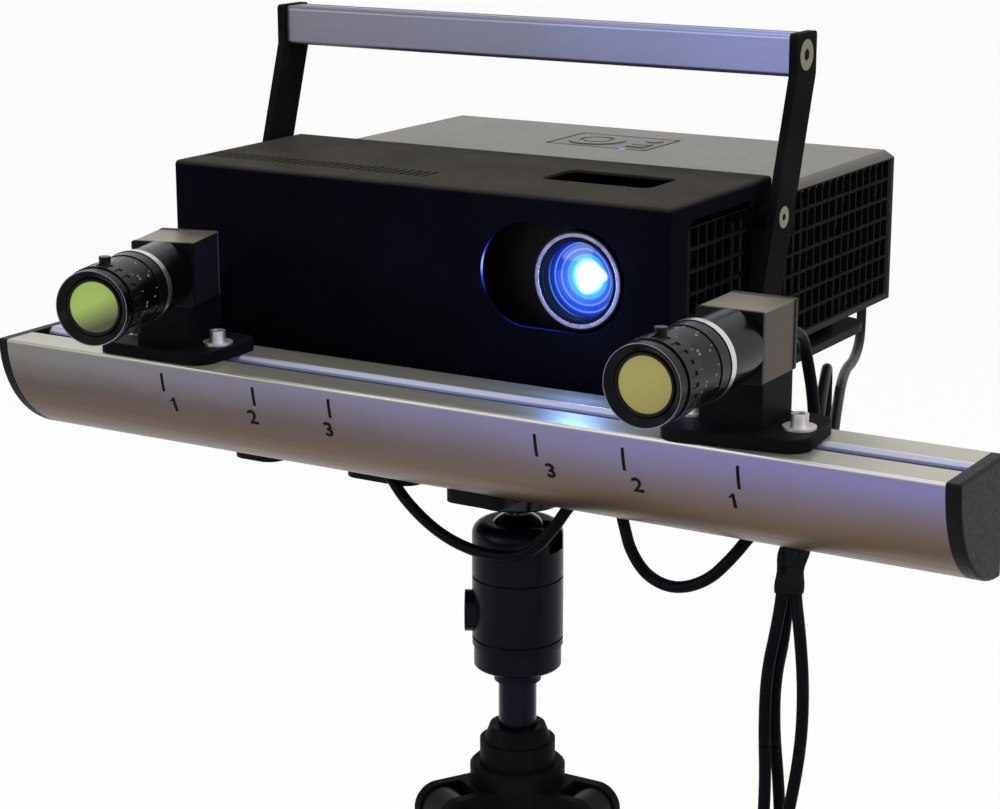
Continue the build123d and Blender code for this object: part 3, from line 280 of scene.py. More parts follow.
left_route = places(on_rail, (
    (-151.25, 48.39, 33.3), (-152.45, 52.73, 33.3), (-154.08, 58.6, 29.8), (-154.99, 61.88, 23.7),
    (-155.5, 61.5, 8), (-155, 60.5, -12), (-151, 58, -28), (-139, 55.5, -38), (-121, 54.5, -42),
    (-98, 54, -42.5), (-74, 53.5, -40.5), (-64, 53.5, -43), (-53.5, 52.5, -50.5),
    (-42.5, 50.5, -62.5), (-24, 48.5, -74), (-4.7, 48, -79.5), (13.5, 48.5, -79.5),
    (26, 49.6, -73.5), (34.3, 51.2, -63), (40.4, 53, -52.8), (46, 54.3, -46.6), (52, 55.7, -43.2),
    (58.8, 56, -43.8), (64, 55.2, -48.3), (67.2, 53.8, -57), (71.5, 51.8, -67.5),
    (80.5, 50.3, -77), (94, 50, -80.3), (108.5, 51.3, -74.5), (118.5, 54.5, -63),
    (123.5, 61.5, -54), (125, 77, -50), (122.5, 105, -51), (116, 140, -54), (106, 172, -57),
    (95, 200, -58), (86.9, 220.4, -58.3), (81.7, 233.4, -58.7), (78.2, 242.1, -51.9),
    (76.9, 245.4, -41), (78.2, 242.1, -30.1), (81.7, 233.4, -23.3), (87, 220, -21.5),
    (97, 192, -27), (110, 158, -37), (121, 124, -45), (129, 98, -51), (134, 80, -56),
    (136.2, 67.3, -64), (138.8, 60.8, -76), (137, 59.5, -93), (133.5, 58.5, -113),
    (134, 56.5, -137), (137, 53, -160), (138.5, 47, -190), (136, 41, -230),
)) + places(on_floor, (
    (133, -40.5, 330), (131.5, -43, 275), (128.5, -43.5, 215), (126.5, -42, 155), (123, -41, 100),
    (122.5, -42.5, 58), (122, -46.5, 30), (122, -53, 11), (122, -63.5, 2.7), (122, -78, 2.7),
))
right_route = places(on_rail, (
    (136.66, 60.8, 33.3), (136.53, 70.09, 33.3), (136.41, 78.39, 28.5), (136.35, 83.19, 20.2),
    (139.5, 84.5, 2), (141, 83.5, -16), (142.3, 80.5, -34), (139.5, 77, -51), (136.6, 72.6, -65),
    (138.2, 67.3, -81), (137.7, 66.3, -99), (134.2, 66, -118), (135.2, 64, -140),
    (140, 60.5, -165), (145, 54, -200), (147, 47, -245),
)) + places(on_floor, (
    (150, -36, 310), (155, -40.5, 255), (157.5, -41.5, 200), (157, -41, 145), (158.5, -42.5, 95),
    (157.5, -44, 57), (157, -48, 30), (157, -55, 11), (157, -65.5, 2.7), (157, -80, 2.7),
))
video_route = places(on_rail, (
    (40, 345, 20), (40, 354, 20), (40.5, 363, 15.5), (41, 367.6, 7), (42.5, 368.6, -8),
    (46, 361, -25), (53, 343, -36), (62, 314, -39), (72, 280, -35), (84, 246, -33),
    (98, 208, -37), (113, 168, -43), (128, 130, -48), (140.5, 102, -51), (141.5, 82.5, -56),
    (141.2, 69.8, -64), (142.8, 64.2, -77), (147.4, 60.3, -93), (150.5, 59, -118),
    (151, 56.5, -145), (147.5, 50, -180), (143.5, 40, -225),
)) + places(on_floor, (
    (140.5, -45, 340), (140, -50, 285), (142, -52, 225), (140.5, -52, 165), (139, -53, 108),
    (140, -56, 62), (139.5, -63, 32), (139.5, -75, 12), (139.5, -91, 2.7), (138.8, -112, 2.7),
    (140.2, -134, 2.7), (139.5, -156, 2.7), (139.5, -178, 2.7),
))
left_route += coil_turns(left_route[-1], -1)
right_route += coil_turns(right_route[-1], 1)
video_route += coil_turns(video_route[-1], 1)

# A cable is cut where it passes from one moving body's care to the next one's
carried = (
    ("top", 0.600, "scanner"),
    ("under_rail", 0.530, "scanner"),
    ("neck", 0.460, "head"),
    ("drop", 0.125, "column"),
    ("leg", 0.045, "tripod"),
    ("floor", None, "tripod"),
)
black_cable = soft_plastic("black_cable", "07080d", "0e1016", 0.34, shine=0.03)
lines = {}


def lay_cable(name, route, plug_body, plug_node, lengths):
    """One cable in stretches, each held by one body, or left fixed in place between two."""
    line = cable_line(name, route)
    rings = rings_round(line)
    lines[name] = line
    first, body = 0, plug_body
    for (part, level, next_body), length in zip(carried, lengths):
        if length is None:
            continue
        last = len(line) - 1
        if level is not None:
            last = max(at for at, point in enumerate(line) if point.z > level)
        points, faces, flat = skin(rings[first:last + 1])
        piece = made_piece(f"{name}_{part}", points, faces, black_cable, flat)
        if body == next_body:
            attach(piece, body)
        elif part == "top":
            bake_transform(piece)
        else:
            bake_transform(piece)
        ends = [cad[plug_node]] if first == 0 else []
        ends += [cad["cable_far_plugs"]] if level is None else []
        first, body = last, next_body
    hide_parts(name, name.replace("_cable", "_coil"))


lay_cable("left_camera_cable", left_route, "left_camera", "left_camera_plug",
          (0.046, 0.778, 0.07, 0.34, 0.078, 0.583))
lay_cable("right_camera_cable", right_route, "right_camera", "right_camera_plug",
          (0.055, 0.072, 0.07, 0.334, 0.084, 0.58))
lay_cable("video_cable", video_route, "scanner", "projector_video_plug",
          (None, 0.389, 0.068, 0.334, 0.088, 0.66))

# Cable wrap
# A strip of black hook-and-loop tape wound round the three cables just below the rail,
# so it follows their outline and bulges where they part.
wrap_top, wrap_bottom, wrap_rows, wrap_sides = -61, -77, 9, 40
tape_gap, swell, waviness = 0.0007, 0.5, 9


def crossing(line, height):
    """Where a cable last comes down through a height."""
    at = max(number for number, point in enumerate(line) if point.z > height)
    above, below = line[at], line[at + 1]
    return above.lerp(below, (above.z - height) / (above.z - below.z))


def outline_round(centres, reach, sides):
    """A loop drawn tight round some circles that lie at one height."""
    loop = []
    for number in range(sides):
        turn = 2 * math.pi * number / sides
        way = Vector((math.cos(turn), math.sin(turn), 0))
        best = max(centres, key=lambda centre: centre.dot(way))
        loop.append(best + way * reach)
    return loop


wrap_loops = []
for row in range(wrap_rows):
    share = row / (wrap_rows - 1)
    height = rail_high.z + (wrap_bottom + (wrap_top - wrap_bottom) * share) / 1000
    centres = [crossing(line, height) for line in lines.values()]
    bulge = tape_gap * (1 + swell * math.sin(share * waviness))
    wrap_loops.append(outline_round(centres, cable_size / 2 + bulge, wrap_sides))
hook_tape, tree, shader, point = begin_finish("hook_tape", "0b0b0d", 0.8, shine=0.1)
loops_in_tape = grain(tree, point, 1300, 3)
feed(shader, "Base Color", tones(tree, loops_in_tape, (0.35, "060608"), (0.7, "141417")))
relief(tree, shader, loops_in_tape, 0.0004)
points, faces, flat = skin(wrap_loops)
wrap = made_piece("cable_wrap", points, faces, hook_tape, flat)
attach(wrap, "scanner")

# Far plugs
# Moulded black grips on the cables' far ends, each with a nickel-plated shell pushed in it.
grip_plastic = soft_plastic("plug_grip", "0d0d0f", "18181b", 0.5)
dress(grip_plastic, "cable_far_plugs", "projector_video_plug")
dress(grip_plastic, "left_camera_plug", "right_camera_plug")
sharp_angle = math.radians(35)


def turned_metal(name, tone, rough, marks=900):
    """Machined and plated metal: fine uneven marks in the shine, duller and paler patches."""
    finish, tree, shader, point = begin_finish(name, tone, rough, metal=1.0)
    handled = grain(tree, point, 160, 5)
    feed(shader, "Roughness", spread_between(tree, handled, rough - 0.04, rough + 0.08))
    paler = tuple(min(1, channel * 1.25) for channel in ink(tone)[:3]) + (1,)
    ramp = add(tree, "ShaderNodeMix", {0: handled, 6: ink(tone), 7: paler}, data_type="RGBA")
    feed(shader, "Base Color", ramp.outputs[2])
    relief(tree, shader, grain(tree, point, marks, 2), 0.000003, 0.0002)
    return finish


def turned_piece(name, place, outline, finish, sides=48):
    """A piece turned about the z axis of its place, from a closed outline of radius and height."""
    rows = []
    for radius, height in outline:
        rows.append([place @ Vector((radius * math.cos(2 * math.pi * n / sides) / 1000,
                                     radius * math.sin(2 * math.pi * n / sides) / 1000,
                                     height / 1000)) for n in range(sides)])
    points, faces, flat = skin(rows + rows[:1], closed_ends=False)
    count = len(rows) * sides
    faces = [tuple(number % count for number in face) for face in faces]
    piece = made_piece(name, points[:count], faces, finish)
    piece.data.set_sharp_from_angle(angle=sharp_angle)
    return piece


nickel = turned_metal("nickel", "b5b2aa", 0.28)
inner, outer, back, front = 5.2, 6.5, 46.2, 57.9
shell_outline = [(inner, front), (inner, back), (outer, back), (outer, front - 0.4),
                 (outer - 0.3, front)]
for name, line in lines.items():
    shell_place = Matrix.Translation(line[-1]) @ Matrix.Rotation(math.pi / 2, 4, "X")
    shell = turned_piece(name.replace("_cable", "_shell"), shell_place, shell_outline, nickel)
    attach(shell, "tripod")

# Tripod
# Three legs of black anodised tube in two draws, held by bolts in a die-cast spider;
# each lower tube stands on a moulded rubber foot, which here takes the tube's black anodised
# finish.
def coated(name, tone, paler, rough, pebble=650, depth=0.00012, edge=0.0005, shine=0.05):
    """Baked powder paint: a fine orange-peel, with patches a little paler."""
    finish, tree, shader, point = begin_finish(name, tone, rough, shine=shine)
    worn = grain(tree, point, 30, 6)
    peel = grain(tree, point, pebble, 3)
    feed(shader, "Base Color", tones(tree, worn, (0.35, tone), (0.8, paler)))
    feed(shader, "Roughness", spread_between(tree, peel, rough - 0.1, rough + 0.1))
    relief(tree, shader, peel, depth, edge)
    return finish


def anodised(name, tone, paler, rough, along, metal=0.9, edge=0.0004, shine=0.06):
    """Anodised extrusion: fine die lines along its length and cloudy patches."""
    finish, tree, shader, point = begin_finish(name, tone, rough, metal=metal, shine=shine)
    die_lines = grain(tree, point, 900, 3, stretch=along)
    cloud = grain(tree, point, 18, 5)
    feed(shader, "Base Color", tones(tree, cloud, (0.3, tone), (0.75, paler)))
    feed(shader, "Roughness", spread_between(tree, die_lines, rough - 0.07, rough + 0.07))
    relief(tree, shader, die_lines, 0.000015, edge)
    return finish


black_tube = anodised("black_tube", "0b0b0e", "131318", 0.33, (1, 1, 0.03), metal=0.3)
spider_paint = coated("spider_paint", "0c0c0f", "17171b", 0.45, pebble=800, shine=0.015)
bolt_steel = turned_metal("bolt_steel", "5a5752", 0.34)
dress(spider_paint, "spider")
dress(bolt_steel, "leg_pivot_bolts")
for number in (1, 2, 3):
    dress(black_tube, f"leg_upper_{number}", f"leg_lower_{number}")

# Centre column
# A drawn tube with a hard black skin, held by a ribbed clamp nut of glass-filled nylon.
dress(anodised("column_skin", "12131c", "1b1d29", 0.22, (1, 1, 0.02), metal=0.7), "centre_column")
nylon = coated("nylon", "0c0c0f", "16161a", 0.42, pebble=1100, depth=0.00008, shine=0.015)
dress(nylon, "column_nut")

# Ball head
# Turned aluminium, black anodised: housing with two fine grooves, lock knob, base ring,
# polished ball on its platform, and the quick-release plate that grips the bracket.
head_skin = anodised("head_skin", "06070e", "0c0e19", 0.3, (0.4, 0.4, 1), metal=0.2, shine=0.08)
dress(head_skin, "head_housing", "head_base", "head_knob")
dress(anodised("ball_polish", "26262c", "34343c", 0.16, (1, 1, 1), metal=0.95), "head_ball")
dress(coated("release_paint", "0c0c0e", "17171a", 0.45), "release_plate")

# Rail
# A quarter-round aluminium extrusion, silver anodised, with a slot on top for the carriages
# and one behind; a black moulded cap closes each end.
def axis_of(tree, point, axis):
    """One coordinate of a point."""
    return add(tree, "ShaderNodeSeparateXYZ", {0: point}).outputs[axis]


def sum_of(tree, kind, first, second=0.0):
    """A simple sum of two amounts."""
    return add(tree, "ShaderNodeMath", {0: first, 1: second}, operation=kind).outputs[0]


def product(tree, first, second):
    """One amount times another."""
    return sum_of(tree, "MULTIPLY", first, second)


def less(tree, first, second):
    """One amount less another."""
    return sum_of(tree, "SUBTRACT", first, second)


def blended(tree, share, first, second):
    """A colour between two, by a share from 0 to 1; each is a code or comes from a node."""
    feeds = {0: share, 6: first, 7: second}
    feeds = {key: ink(value) if isinstance(value, str) else value for key, value in feeds.items()}
    return add(tree, "ShaderNodeMix", feeds, data_type="RGBA").outputs[2]


def inside(tree, amount, start, end, fade):
    """One where an amount lies between two values, nought outside, with a short fade."""
    rise = spread_between(tree, amount, 0, 1, start, start + fade)
    fall = spread_between(tree, amount, 1, 0, end - fade, end)
    return product(tree, rise, fall)


rail_skin, tree, shader, point = begin_finish("rail_skin", "6f6a72", 0.36, metal=0.85)
die_lines = grain(tree, point, 1100, 3, stretch=(0.008, 1, 1))
cloud = grain(tree, point, 22, 5, stretch=(0.3, 1, 1))
speck = grain(tree, point, 500, 6)
# Painted reflection and light: the rail's front is painted darker and browner towards its foot and
# paler towards its top, and bluer at the right where the projector's blue light falls; the top
# face is painted paler, as light from overhead.
level = spread_between(tree, axis_of(tree, point, 2), 0, 1, rail_high.z - 0.05, rail_high.z)
drifted = sum_of(tree, "ADD", level, spread_between(tree, cloud, -0.06, 0.06))
left_painted_light = tones(tree, drifted, (0.05, "5a4434"), (0.35, "574131"), (0.62, "584c4a"),
                  (0.9, "787673"))
right_painted_light = tones(tree, drifted, (0.05, "644e39"), (0.37, "675140"), (0.62, "72676d"),
                   (0.9, "7e7aa8"))
run = spread_between(tree, axis_of(tree, point, 0), 0, 1, -0.22, 0.16)
skin_tone = blended(tree, run, left_painted_light, right_painted_light)
# Painted highlight: a pale line along the top front edge, fainter at the left.
line_tone = blended(tree, run, "8d8a82", "c6c4b6")
edge_highlight_tone = blended(tree, inside(tree, level, 0.968, 0.999, 0.012), skin_tone, line_tone)
painted_top_light = tones(tree, cloud, (0.3, "a19f90"), (0.7, "b3b2a4"))
plain_tone = blended(tree, spread_between(tree, level, 0, 1, 0.994, 0.998), edge_highlight_tone, painted_top_light)
along_y = axis_of(tree, point, 1)
# Painted highlight: the slot's floor is painted pale blue-grey and less metallic.
slot_front, slot_back = rail_low.y + 0.0176, rail_low.y + 0.0314
in_slot = inside(tree, along_y, slot_front, slot_back, 0.0002)
in_slot = product(tree, in_slot, inside(tree, level, 0.7, 0.9945, 0.002))
slot_tone = blended(tree, in_slot, plain_tone, "a6abc8")
flecked = blended(tree, spread_between(tree, speck, 0, 0.35, 0.72, 0.8), slot_tone, "4e4a48")
feed(shader, "Base Color", flecked)
feed(shader, "Metallic", spread_between(tree, in_slot, 0.85, 0.1, 0, 1))
feed(shader, "Roughness", spread_between(tree, die_lines, 0.3, 0.42))
relief(tree, shader, die_lines, 0.00001, 0.0005)
dress(rail_skin, "rail")
cap_plastic = coated("cap_plastic", "0e0e0f", "1a1a19", 0.4, pebble=900, depth=0.00002,
                     edge=0.0008)
dress(cap_plastic, "rail_caps")

# Scale on the rail
# Printed ticks and numbers under a strip of clear tape along the front, three for each
# camera, counted from the rail's ends.
rail_radius = 50


def rail_front(x, z):
    """A place on the rail's round front, its z axis pointing out and its y axis up."""
    turn = math.asin(-z / rail_radius)
    out = Vector((0, -math.cos(turn), -math.sin(turn)))
    up = Vector((0, -math.sin(turn), math.cos(turn)))
    place = Matrix((Vector((1, 0, 0)), up, out)).transposed().to_4x4()
    spot = on_rail(x, rail_radius, 0) + out * (rail_radius / 1000)
    return Matrix.Translation(spot) @ place


def patch_on_rail(name, x0, x1, z0, z1, lift, finish, steps=6):
    """A thin curved patch that lies on the rail's front."""
    first, end = math.asin(-z0 / rail_radius), math.asin(-z1 / rail_radius)
    turns = [first + (end - first) * step / steps for step in range(steps + 1)]
    points = []
    for reach in (rail_radius + lift, rail_radius - 0.2):
        for turn in turns:
            for x in (x0, x1):
                y, z = rail_radius - reach * math.cos(turn), -reach * math.sin(turn)
                points.append(on_rail(x, y, z))
    back = 2 * (steps + 1)
    faces = []
    for step in range(steps):
        at = 2 * step
        faces.append((at, at + 2, at + 3, at + 1))
        faces.append((back + at, back + at + 1, back + at + 3, back + at + 2))
        faces.append((at, back + at, back + at + 2, at + 2))
        faces.append((at + 1, at + 3, back + at + 3, back + at + 1))
    last = 2 * steps
    faces.append((0, 1, back + 1, back))
    faces.append((last, back + last, back + last + 1, last + 1))
    piece = made_piece(name, points, faces, finish)
    piece.data.set_sharp_from_angle(angle=sharp_angle)
    return piece


figure_share = 0.7


def lettering(name, words, place, height, finish, thickness=0.1, bolder=0.02):
    """Printed figures of a height in millimetres, centred on a place."""
    letters = bpy.data.curves.new(name, "FONT")
    letters.body = words
    letters.size = height / 1000 / figure_share
    letters.extrude = thickness / 2000
    letters.offset = height / 1000 * bolder
    letters.align_x = "CENTER"
    letters.align_y = "CENTER"
    letters.resolution_u = 3
    shape = bpy.data.objects.new(name, letters)
    mesh = bpy.data.meshes.new_from_object(shape)
    bpy.data.objects.remove(shape)
    mesh.transform(place)
    mesh.materials.clear()
    mesh.materials.append(finish)
    piece = bpy.data.objects.new(name, mesh)
    scene.collection.objects.link(piece)
    return piece


def thin_bar(name, place, width, length, finish, thickness=0.12):
    """A narrow raised bar, rounded at its ends, on a place."""
    outline = []
    radius, middle = width / 2, (length - width) / 2
    for end, first in ((1, 0), (-1, 180)):
        for step in range(5):
            angle = math.radians(first + 45 * step)
            outline.append((radius * math.cos(angle), end * middle + radius * math.sin(angle)))
    rows = []
    for z in (-thickness, thickness / 3):
        rows.append([place @ Vector((x / 1000, y / 1000, z / 1000)) for x, y in outline])
    points, faces, flat = skin(rows)
    return made_piece(name, points, faces, finish, flat)


scale_ink, tree, shader, point = begin_finish("scale_ink", "09090c", 0.55, shine=0.03)
faded = grain(tree, point, 900, 3)
feed(shader, "Base Color", tones(tree, faded, (0.3, "060608"), (0.8, "1c1b22")))
clear_tape, tree, shader, point = begin_finish("clear_tape", "8d898d", 0.25, shine=0.1)
shader.inputs["Alpha"].default_value = 0.04
relief(tree, shader, grain(tree, point, 140, 3, stretch=(0.2, 1, 1)), 0.00003)
scale_marks = (
    (1, -139.2, -135, -4.8, -13.5),
    (2, -88.8, -91.6, -4.8, -13.5),
    (3, -48.5, -51, -4.8, -13.5),
    (3, 53.7, 58.8, -6, -16),
    (2, 94.3, 98.9, -6, -16),
    (1, 145, 141.7, -6, -16),
)
tick_half, tick_lift, tape_lift = 0.65, 0.16, 0.1
figure_height, figure_drop = 7.2, 6.4
flag_width, flag_length, flag_back, flag_drop = 0.75, 2.6, 1.0, 3.9
flag_turn = Matrix.Rotation(math.radians(-50), 4, "Z")
print_lift = Matrix.Translation((0, 0, 0.00015))
for count, (number, tick_x, figure_x, top, bottom) in enumerate(scale_marks):
    tick = patch_on_rail(f"scale_tick_{count}", tick_x - tick_half, tick_x + tick_half, top,
                         bottom, tick_lift, scale_ink)
    figure_place = rail_front(figure_x, bottom - figure_drop) @ print_lift
    figure = lettering(f"scale_figure_{count}", str(number), figure_place, figure_height,
                       scale_ink)
    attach(tick, "scanner")
    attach(figure, "scanner")
    if number == 1:
        flag_place = rail_front(figure_x - flag_back, bottom - flag_drop) @ print_lift
        flag = thin_bar(f"scale_flag_{count}", flag_place @ flag_turn, flag_width, flag_length,
                        scale_ink, thickness=0.06)
        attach(flag, "scanner")
tape = patch_on_rail("scale_tape", -152, 168, -3, -27, tape_lift, clear_tape, steps=12)
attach(tape, "scanner")

# Camera carriages
# Each camera stands on a milled block on a rounded plate, powder coated black; two zinc
# cap screws with wide washers clamp the plate to nuts in the rail's slot.
carriage_paint = coated("carriage_paint", "0d0d11", "17171b", 0.42, pebble=1300,
                        depth=0.00014, shine=0.01)
zinc = turned_metal("zinc", "bdbbba", 0.42)
for side in ("left", "right"):
    dress(carriage_paint, f"{side}_carriage_plate", f"{side}_riser")
    dress(zinc, f"{side}_plate_screws")

# Camera bodies
# A folded cover of satin metal between two black cast end frames; the plug of its cable
# screws in behind. The side plates are plain.
camera_rests = {"left": (-143.1, 19, 15.5), "right": (137.2, 22.3, 0.8)}
camera_level = 25.3
camera_depth, camera_height = 33, 29


def camera_place(side):
    """The middle of a camera's foot, its y axis pointing to the back."""
    x, y, turn = camera_rests[side]
    spot = Matrix.Translation(on_rail(x, y, camera_level))
    return spot @ Matrix.Rotation(math.radians(turn), 4, "Z")


def seen_from(tree, point, place):
    """The same point as seen from a place on the object."""
    back = place.inverted()
    feeds = {"Vector": point, "Rotation": back.to_euler("XYZ"), "Location": back.translation}
    return add(tree, "ShaderNodeMapping", feeds).outputs[0]


cover_half, top_height = 0.0145, camera_height / 1000
# Painted light: the top of each cover is painted paler, fading from front to back, as light from
# overhead; the side plates of the two cameras, one metal, are painted in different tones,
# blue-grey on the left and brown on the right, as lit and shaded copies.
for side, plate_tone_as_lit in (("left", "4a4b5a"), ("right", "3c3228")):
    satin, tree, shader, point = begin_finish(f"{side}_camera_satin", plate_tone_as_lit, 0.4, shine=0.1)
    near_camera = seen_from(tree, point, camera_place(side))
    backward, upward = axis_of(tree, near_camera, 1), axis_of(tree, near_camera, 2)
    depth = sum_of(tree, "ABSOLUTE", backward)
    cover = spread_between(tree, depth, 1, 0, cover_half - 0.00005, cover_half + 0.00005)
    on_top = spread_between(tree, upward, 0, 1, top_height - 0.0008, top_height - 0.00045)
    brushed = grain(tree, point, 1500, 2)
    to_the_back = spread_between(tree, backward, 0, 1, -0.014, 0.014)
    painted_top_light = tones(tree, to_the_back, (0, "837b6b"), (1, "6b6455"))
    satin_tone = blended(tree, on_top, plate_tone_as_lit, painted_top_light)
    feed(shader, "Base Color", blended(tree, cover, "08080a", satin_tone))
    feed(shader, "Metallic", product(tree, cover, 0.95))
    feed(shader, "Roughness", spread_between(tree, brushed, 0.3, 0.42))
    relief(tree, shader, brushed, 0.00003, 0.0005)
    dress(satin, f"{side}_camera_body")

# Camera lenses
# Black anodised barrels with engraved scales filled with white, a satin mounting ring next
# to the camera, lock screws on the iris and focus rings, and a coloured filter in front.
barrel_radius, focus_radius = 15.8, 16.6


def lens_place(side):
    """The middle of a camera's face, its z axis along the lens to the front."""
    face = Matrix.Translation(Vector((0, -camera_depth / 2000, camera_height / 2000)))
    return camera_place(side) @ face @ Matrix.Rotation(math.pi / 2, 4, "X")


def on_lens(side, radius, along, turn):
    """A place on a lens barrel, its z axis pointing out and its y axis to the front."""
    angle = math.radians(turn)
    out = Vector((math.cos(angle), math.sin(angle), 0))
    round_it = Vector((-math.sin(angle), math.cos(angle), 0))
    place = Matrix((round_it, Vector((0, 0, 1)), out)).transposed().to_4x4()
    spot = Vector((out.x * radius / 1000, out.y * radius / 1000, along / 1000))
    return lens_place(side) @ Matrix.Translation(spot) @ place


engraving, tree, shader, point = begin_finish("engraving", "8b8c8a", 0.6)
filled = grain(tree, point, 1500, 2)
feed(shader, "Base Color", tones(tree, filled, (0.3, "5f605e"), (0.7, "9c9d9a")))
# Painted highlight: a thin blue-grey metal ring stands proud on the outer edge of each lens front,
# as the rim's highlight.
bright_rim = turned_metal("bright_rim", "6e7184", 0.3)
rim_outline = [(15.65, 73.8), (15.97, 73.8), (15.97, 74.02), (15.82, 74.1), (15.65, 74.02)]
retainer_black = turned_metal("retainer_black", "1c1c22", 0.2)
retainer_outline = [(10.8, 71.42), (12.05, 71.42), (12.05, 72.0), (11.1, 72.0)]
ring_start, ring_end = 0.028, 0.032
tick_turns, focus_turn, tick_width, figure_size = (-18, 12, 40, 66, 88), 5, 0.24, 1.5
lens_figures = (
    ("barrel_figure", 44.6, (("2", 0), ("4", 34), ("8", 62), ("16", 92))),
    ("distance_figure", 53, (("0.2", -6), ("0.5", 38), ("1", 80))),
)
for side, body in (("left", "left_camera"), ("right", "right_camera")):
    lens_black, tree, shader, point = begin_finish(f"{side}_lens_black", "060608", 0.26, shine=0.1)
    along = axis_of(tree, seen_from(tree, point, lens_place(side)), 2)
    after = spread_between(tree, along, 0, 1, ring_start, ring_start + 0.0001)
    before = spread_between(tree, along, 1, 0, ring_end - 0.0001, ring_end)
    ring = product(tree, after, before)
    feed(shader, "Base Color", tones(tree, ring, (0, "060608"), (1, "c8cac6")))
    feed(shader, "Metallic", spread_between(tree, ring, 0.1, 0.95, 0, 1))
    feed(shader, "Roughness", spread_between(tree, grain(tree, point, 300, 2), 0.2, 0.26))
    relief(tree, shader, grain(tree, point, 700, 2), 0.000002, 0.0003)
    dress(lens_black, f"{side}_lens_barrel")
    ring_black = anodised(f"{side}_ring_black", "070709", "0c0c0f", 0.26, (1, 1, 1), metal=0.1,
                          shine=0.14)
    dress(ring_black, f"{side}_iris_ring", f"{side}_focus_ring")
    rim = turned_piece(f"{side}_lens_rim", lens_place(side), rim_outline, bright_rim, sides=72)
    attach(rim, body)
    retainer = turned_piece(f"{side}_filter_retainer", lens_place(side), retainer_outline,
                            retainer_black, sides=72)
    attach(retainer, body)
    marks = []
    for number, turn in enumerate(tick_turns):
        spot = on_lens(side, barrel_radius, 41.6, turn)
        tick = thin_bar(f"{side}_barrel_tick_{number}", spot, tick_width, 1.8, engraving)
        marks.append((body, tick))
        spot = on_lens(side, focus_radius, 57.4, turn + focus_turn)
        tick = thin_bar(f"{side}_focus_tick_{number}", spot, tick_width, 1.4, engraving)
        marks.append((f"{side}_focus", tick))
    for kind, from_face, figures in lens_figures:
        for number, (words, turn) in enumerate(figures):
            spot = on_lens(side, barrel_radius + 0.02, from_face, turn)
            figure = lettering(f"{side}_{kind}_{number}", words, spot, figure_size, engraving)
            marks.append((body, figure))
    for carrier, mark in marks:
        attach(mark, carrier)

# Filters
# A round of coloured glass in a threaded mount; the right one is olive, the left one greener,
# both under a clear gloss and painted darker towards the lower right as painted shade, the left
# one much more.
for side, top, foot in (("left", "a3be54", "363b0b"), ("right", "a59d4a", "9a9240")):
    filter_glass, tree, shader, point = begin_finish(f"{side}_filter", top, 0.12)
    near_lens = seen_from(tree, point, lens_place(side))
    height, sideways = axis_of(tree, near_lens, 1), axis_of(tree, near_lens, 0)
    # Painted shade: darker towards the foot, slanted to the lower right.
    slanted = less(tree, height, product(tree, sideways, 0.45))
    painted_foot_shade = spread_between(tree, slanted, 0, 1, -0.009, 0.002)
    feed(shader, "Base Color", tones(tree, painted_foot_shade, (0, foot), (1, top)))
    feed(shader, "Roughness", spread_between(tree, grain(tree, point, 400, 3), 0.1, 0.16))
    shader.inputs["Coat Weight"].default_value = 0.4
    dress(filter_glass, f"{side}_filter_glass")

# Hood
# One folded steel sheet, powder coated black, screwed to the handle's arms; it shields the
# projector's front and has a window for its lens.
hood_paint, tree, shader, point = begin_finish("hood_paint", "0a0b12", 0.5, shine=0.002)
peel = grain(tree, point, 1500, 3)
# Painted light: above the bend the sheet's top is painted paler grey than its front, as light from
# overhead.
bend_start, bend_end = rail_high.z + 0.0772, rail_high.z + 0.0791
on_top = spread_between(tree, axis_of(tree, point, 2), 0, 1, bend_start, bend_end)
front_tone = tones(tree, grain(tree, point, 30, 6), (0.35, "090a11"), (0.8, "0e0f17"))
painted_top_light = tones(tree, grain(tree, point, 26, 6), (0.35, "302e2b"), (0.8, "3d3b37"))
feed(shader, "Base Color", blended(tree, on_top, front_tone, painted_top_light))
feed(shader, "Roughness", spread_between(tree, peel, 0.42, 0.6))
relief(tree, shader, peel, 0.0001, 0.0006)


def distance_from(tree, across, upward, x, y):
    """Distance from a spot, by one amount across and one upward."""
    dx = less(tree, across, x)
    dy = less(tree, upward, y)
    return sum_of(tree, "SQRT", sum_of(tree, "ADD", product(tree, dx, dx), product(tree, dy, dy)))


# The window's cut edge catches the lamp's blue light at its left end and along its foot
window_x0, window_x1, window_reach = 0.0113, 0.0364, 0.0231
across, upward = axis_of(tree, point, 0), axis_of(tree, point, 2)
before = sum_of(tree, "MINIMUM", less(tree, across, window_x0), 0)
off_middle = sum_of(tree, "MAXIMUM", before, less(tree, across, window_x1))
reach = distance_from(tree, off_middle, upward, 0, rail_high.z + 0.044)
cut_edge = spread_between(tree, reach, 1, 0, window_reach + 0.00005, window_reach + 0.00012)
off_bright = sum_of(tree, "ABSOLUTE", less(tree, upward, rail_high.z + 0.047))
near_left = spread_between(tree, across, 1, 0, -0.007, 0.0)
left_end = product(tree, near_left, spread_between(tree, off_bright, 1, 0, 0.002, 0.014))
foot_start, foot_end = rail_high.z + 0.0215, rail_high.z + 0.026
low_down = spread_between(tree, upward, 0.3, 0, foot_start, foot_end)
at_foot = product(tree, low_down, inside(tree, across, -0.008, 0.036, 0.01))
lit = product(tree, sum_of(tree, "ADD", left_end, at_foot), cut_edge)
feed(shader, "Emission Color", tones(tree, lit, (0.2, "1420b0"), (0.7, "2a4cff"), (1, "7f9cff")))
feed(shader, "Emission Strength", spread_between(tree, lit, 0, 1.5, 0, 1))
dress(hood_paint, "hood")

# Hood shade strip
# A strip of black foam rubber under the hood's rear edge, put there only for shade: it closes the
# gap above the projector's cover, so that no light falls in from behind.
foam_rubber, tree, shader, point = begin_finish("foam_rubber", "0a0a0b", 0.9, shine=0.02)
cells = grain(tree, point, 900, 4)
feed(shader, "Base Color", tones(tree, cells, (0.35, "050505"), (0.7, "0f0f10")))
relief(tree, shader, cells, 0.0003)


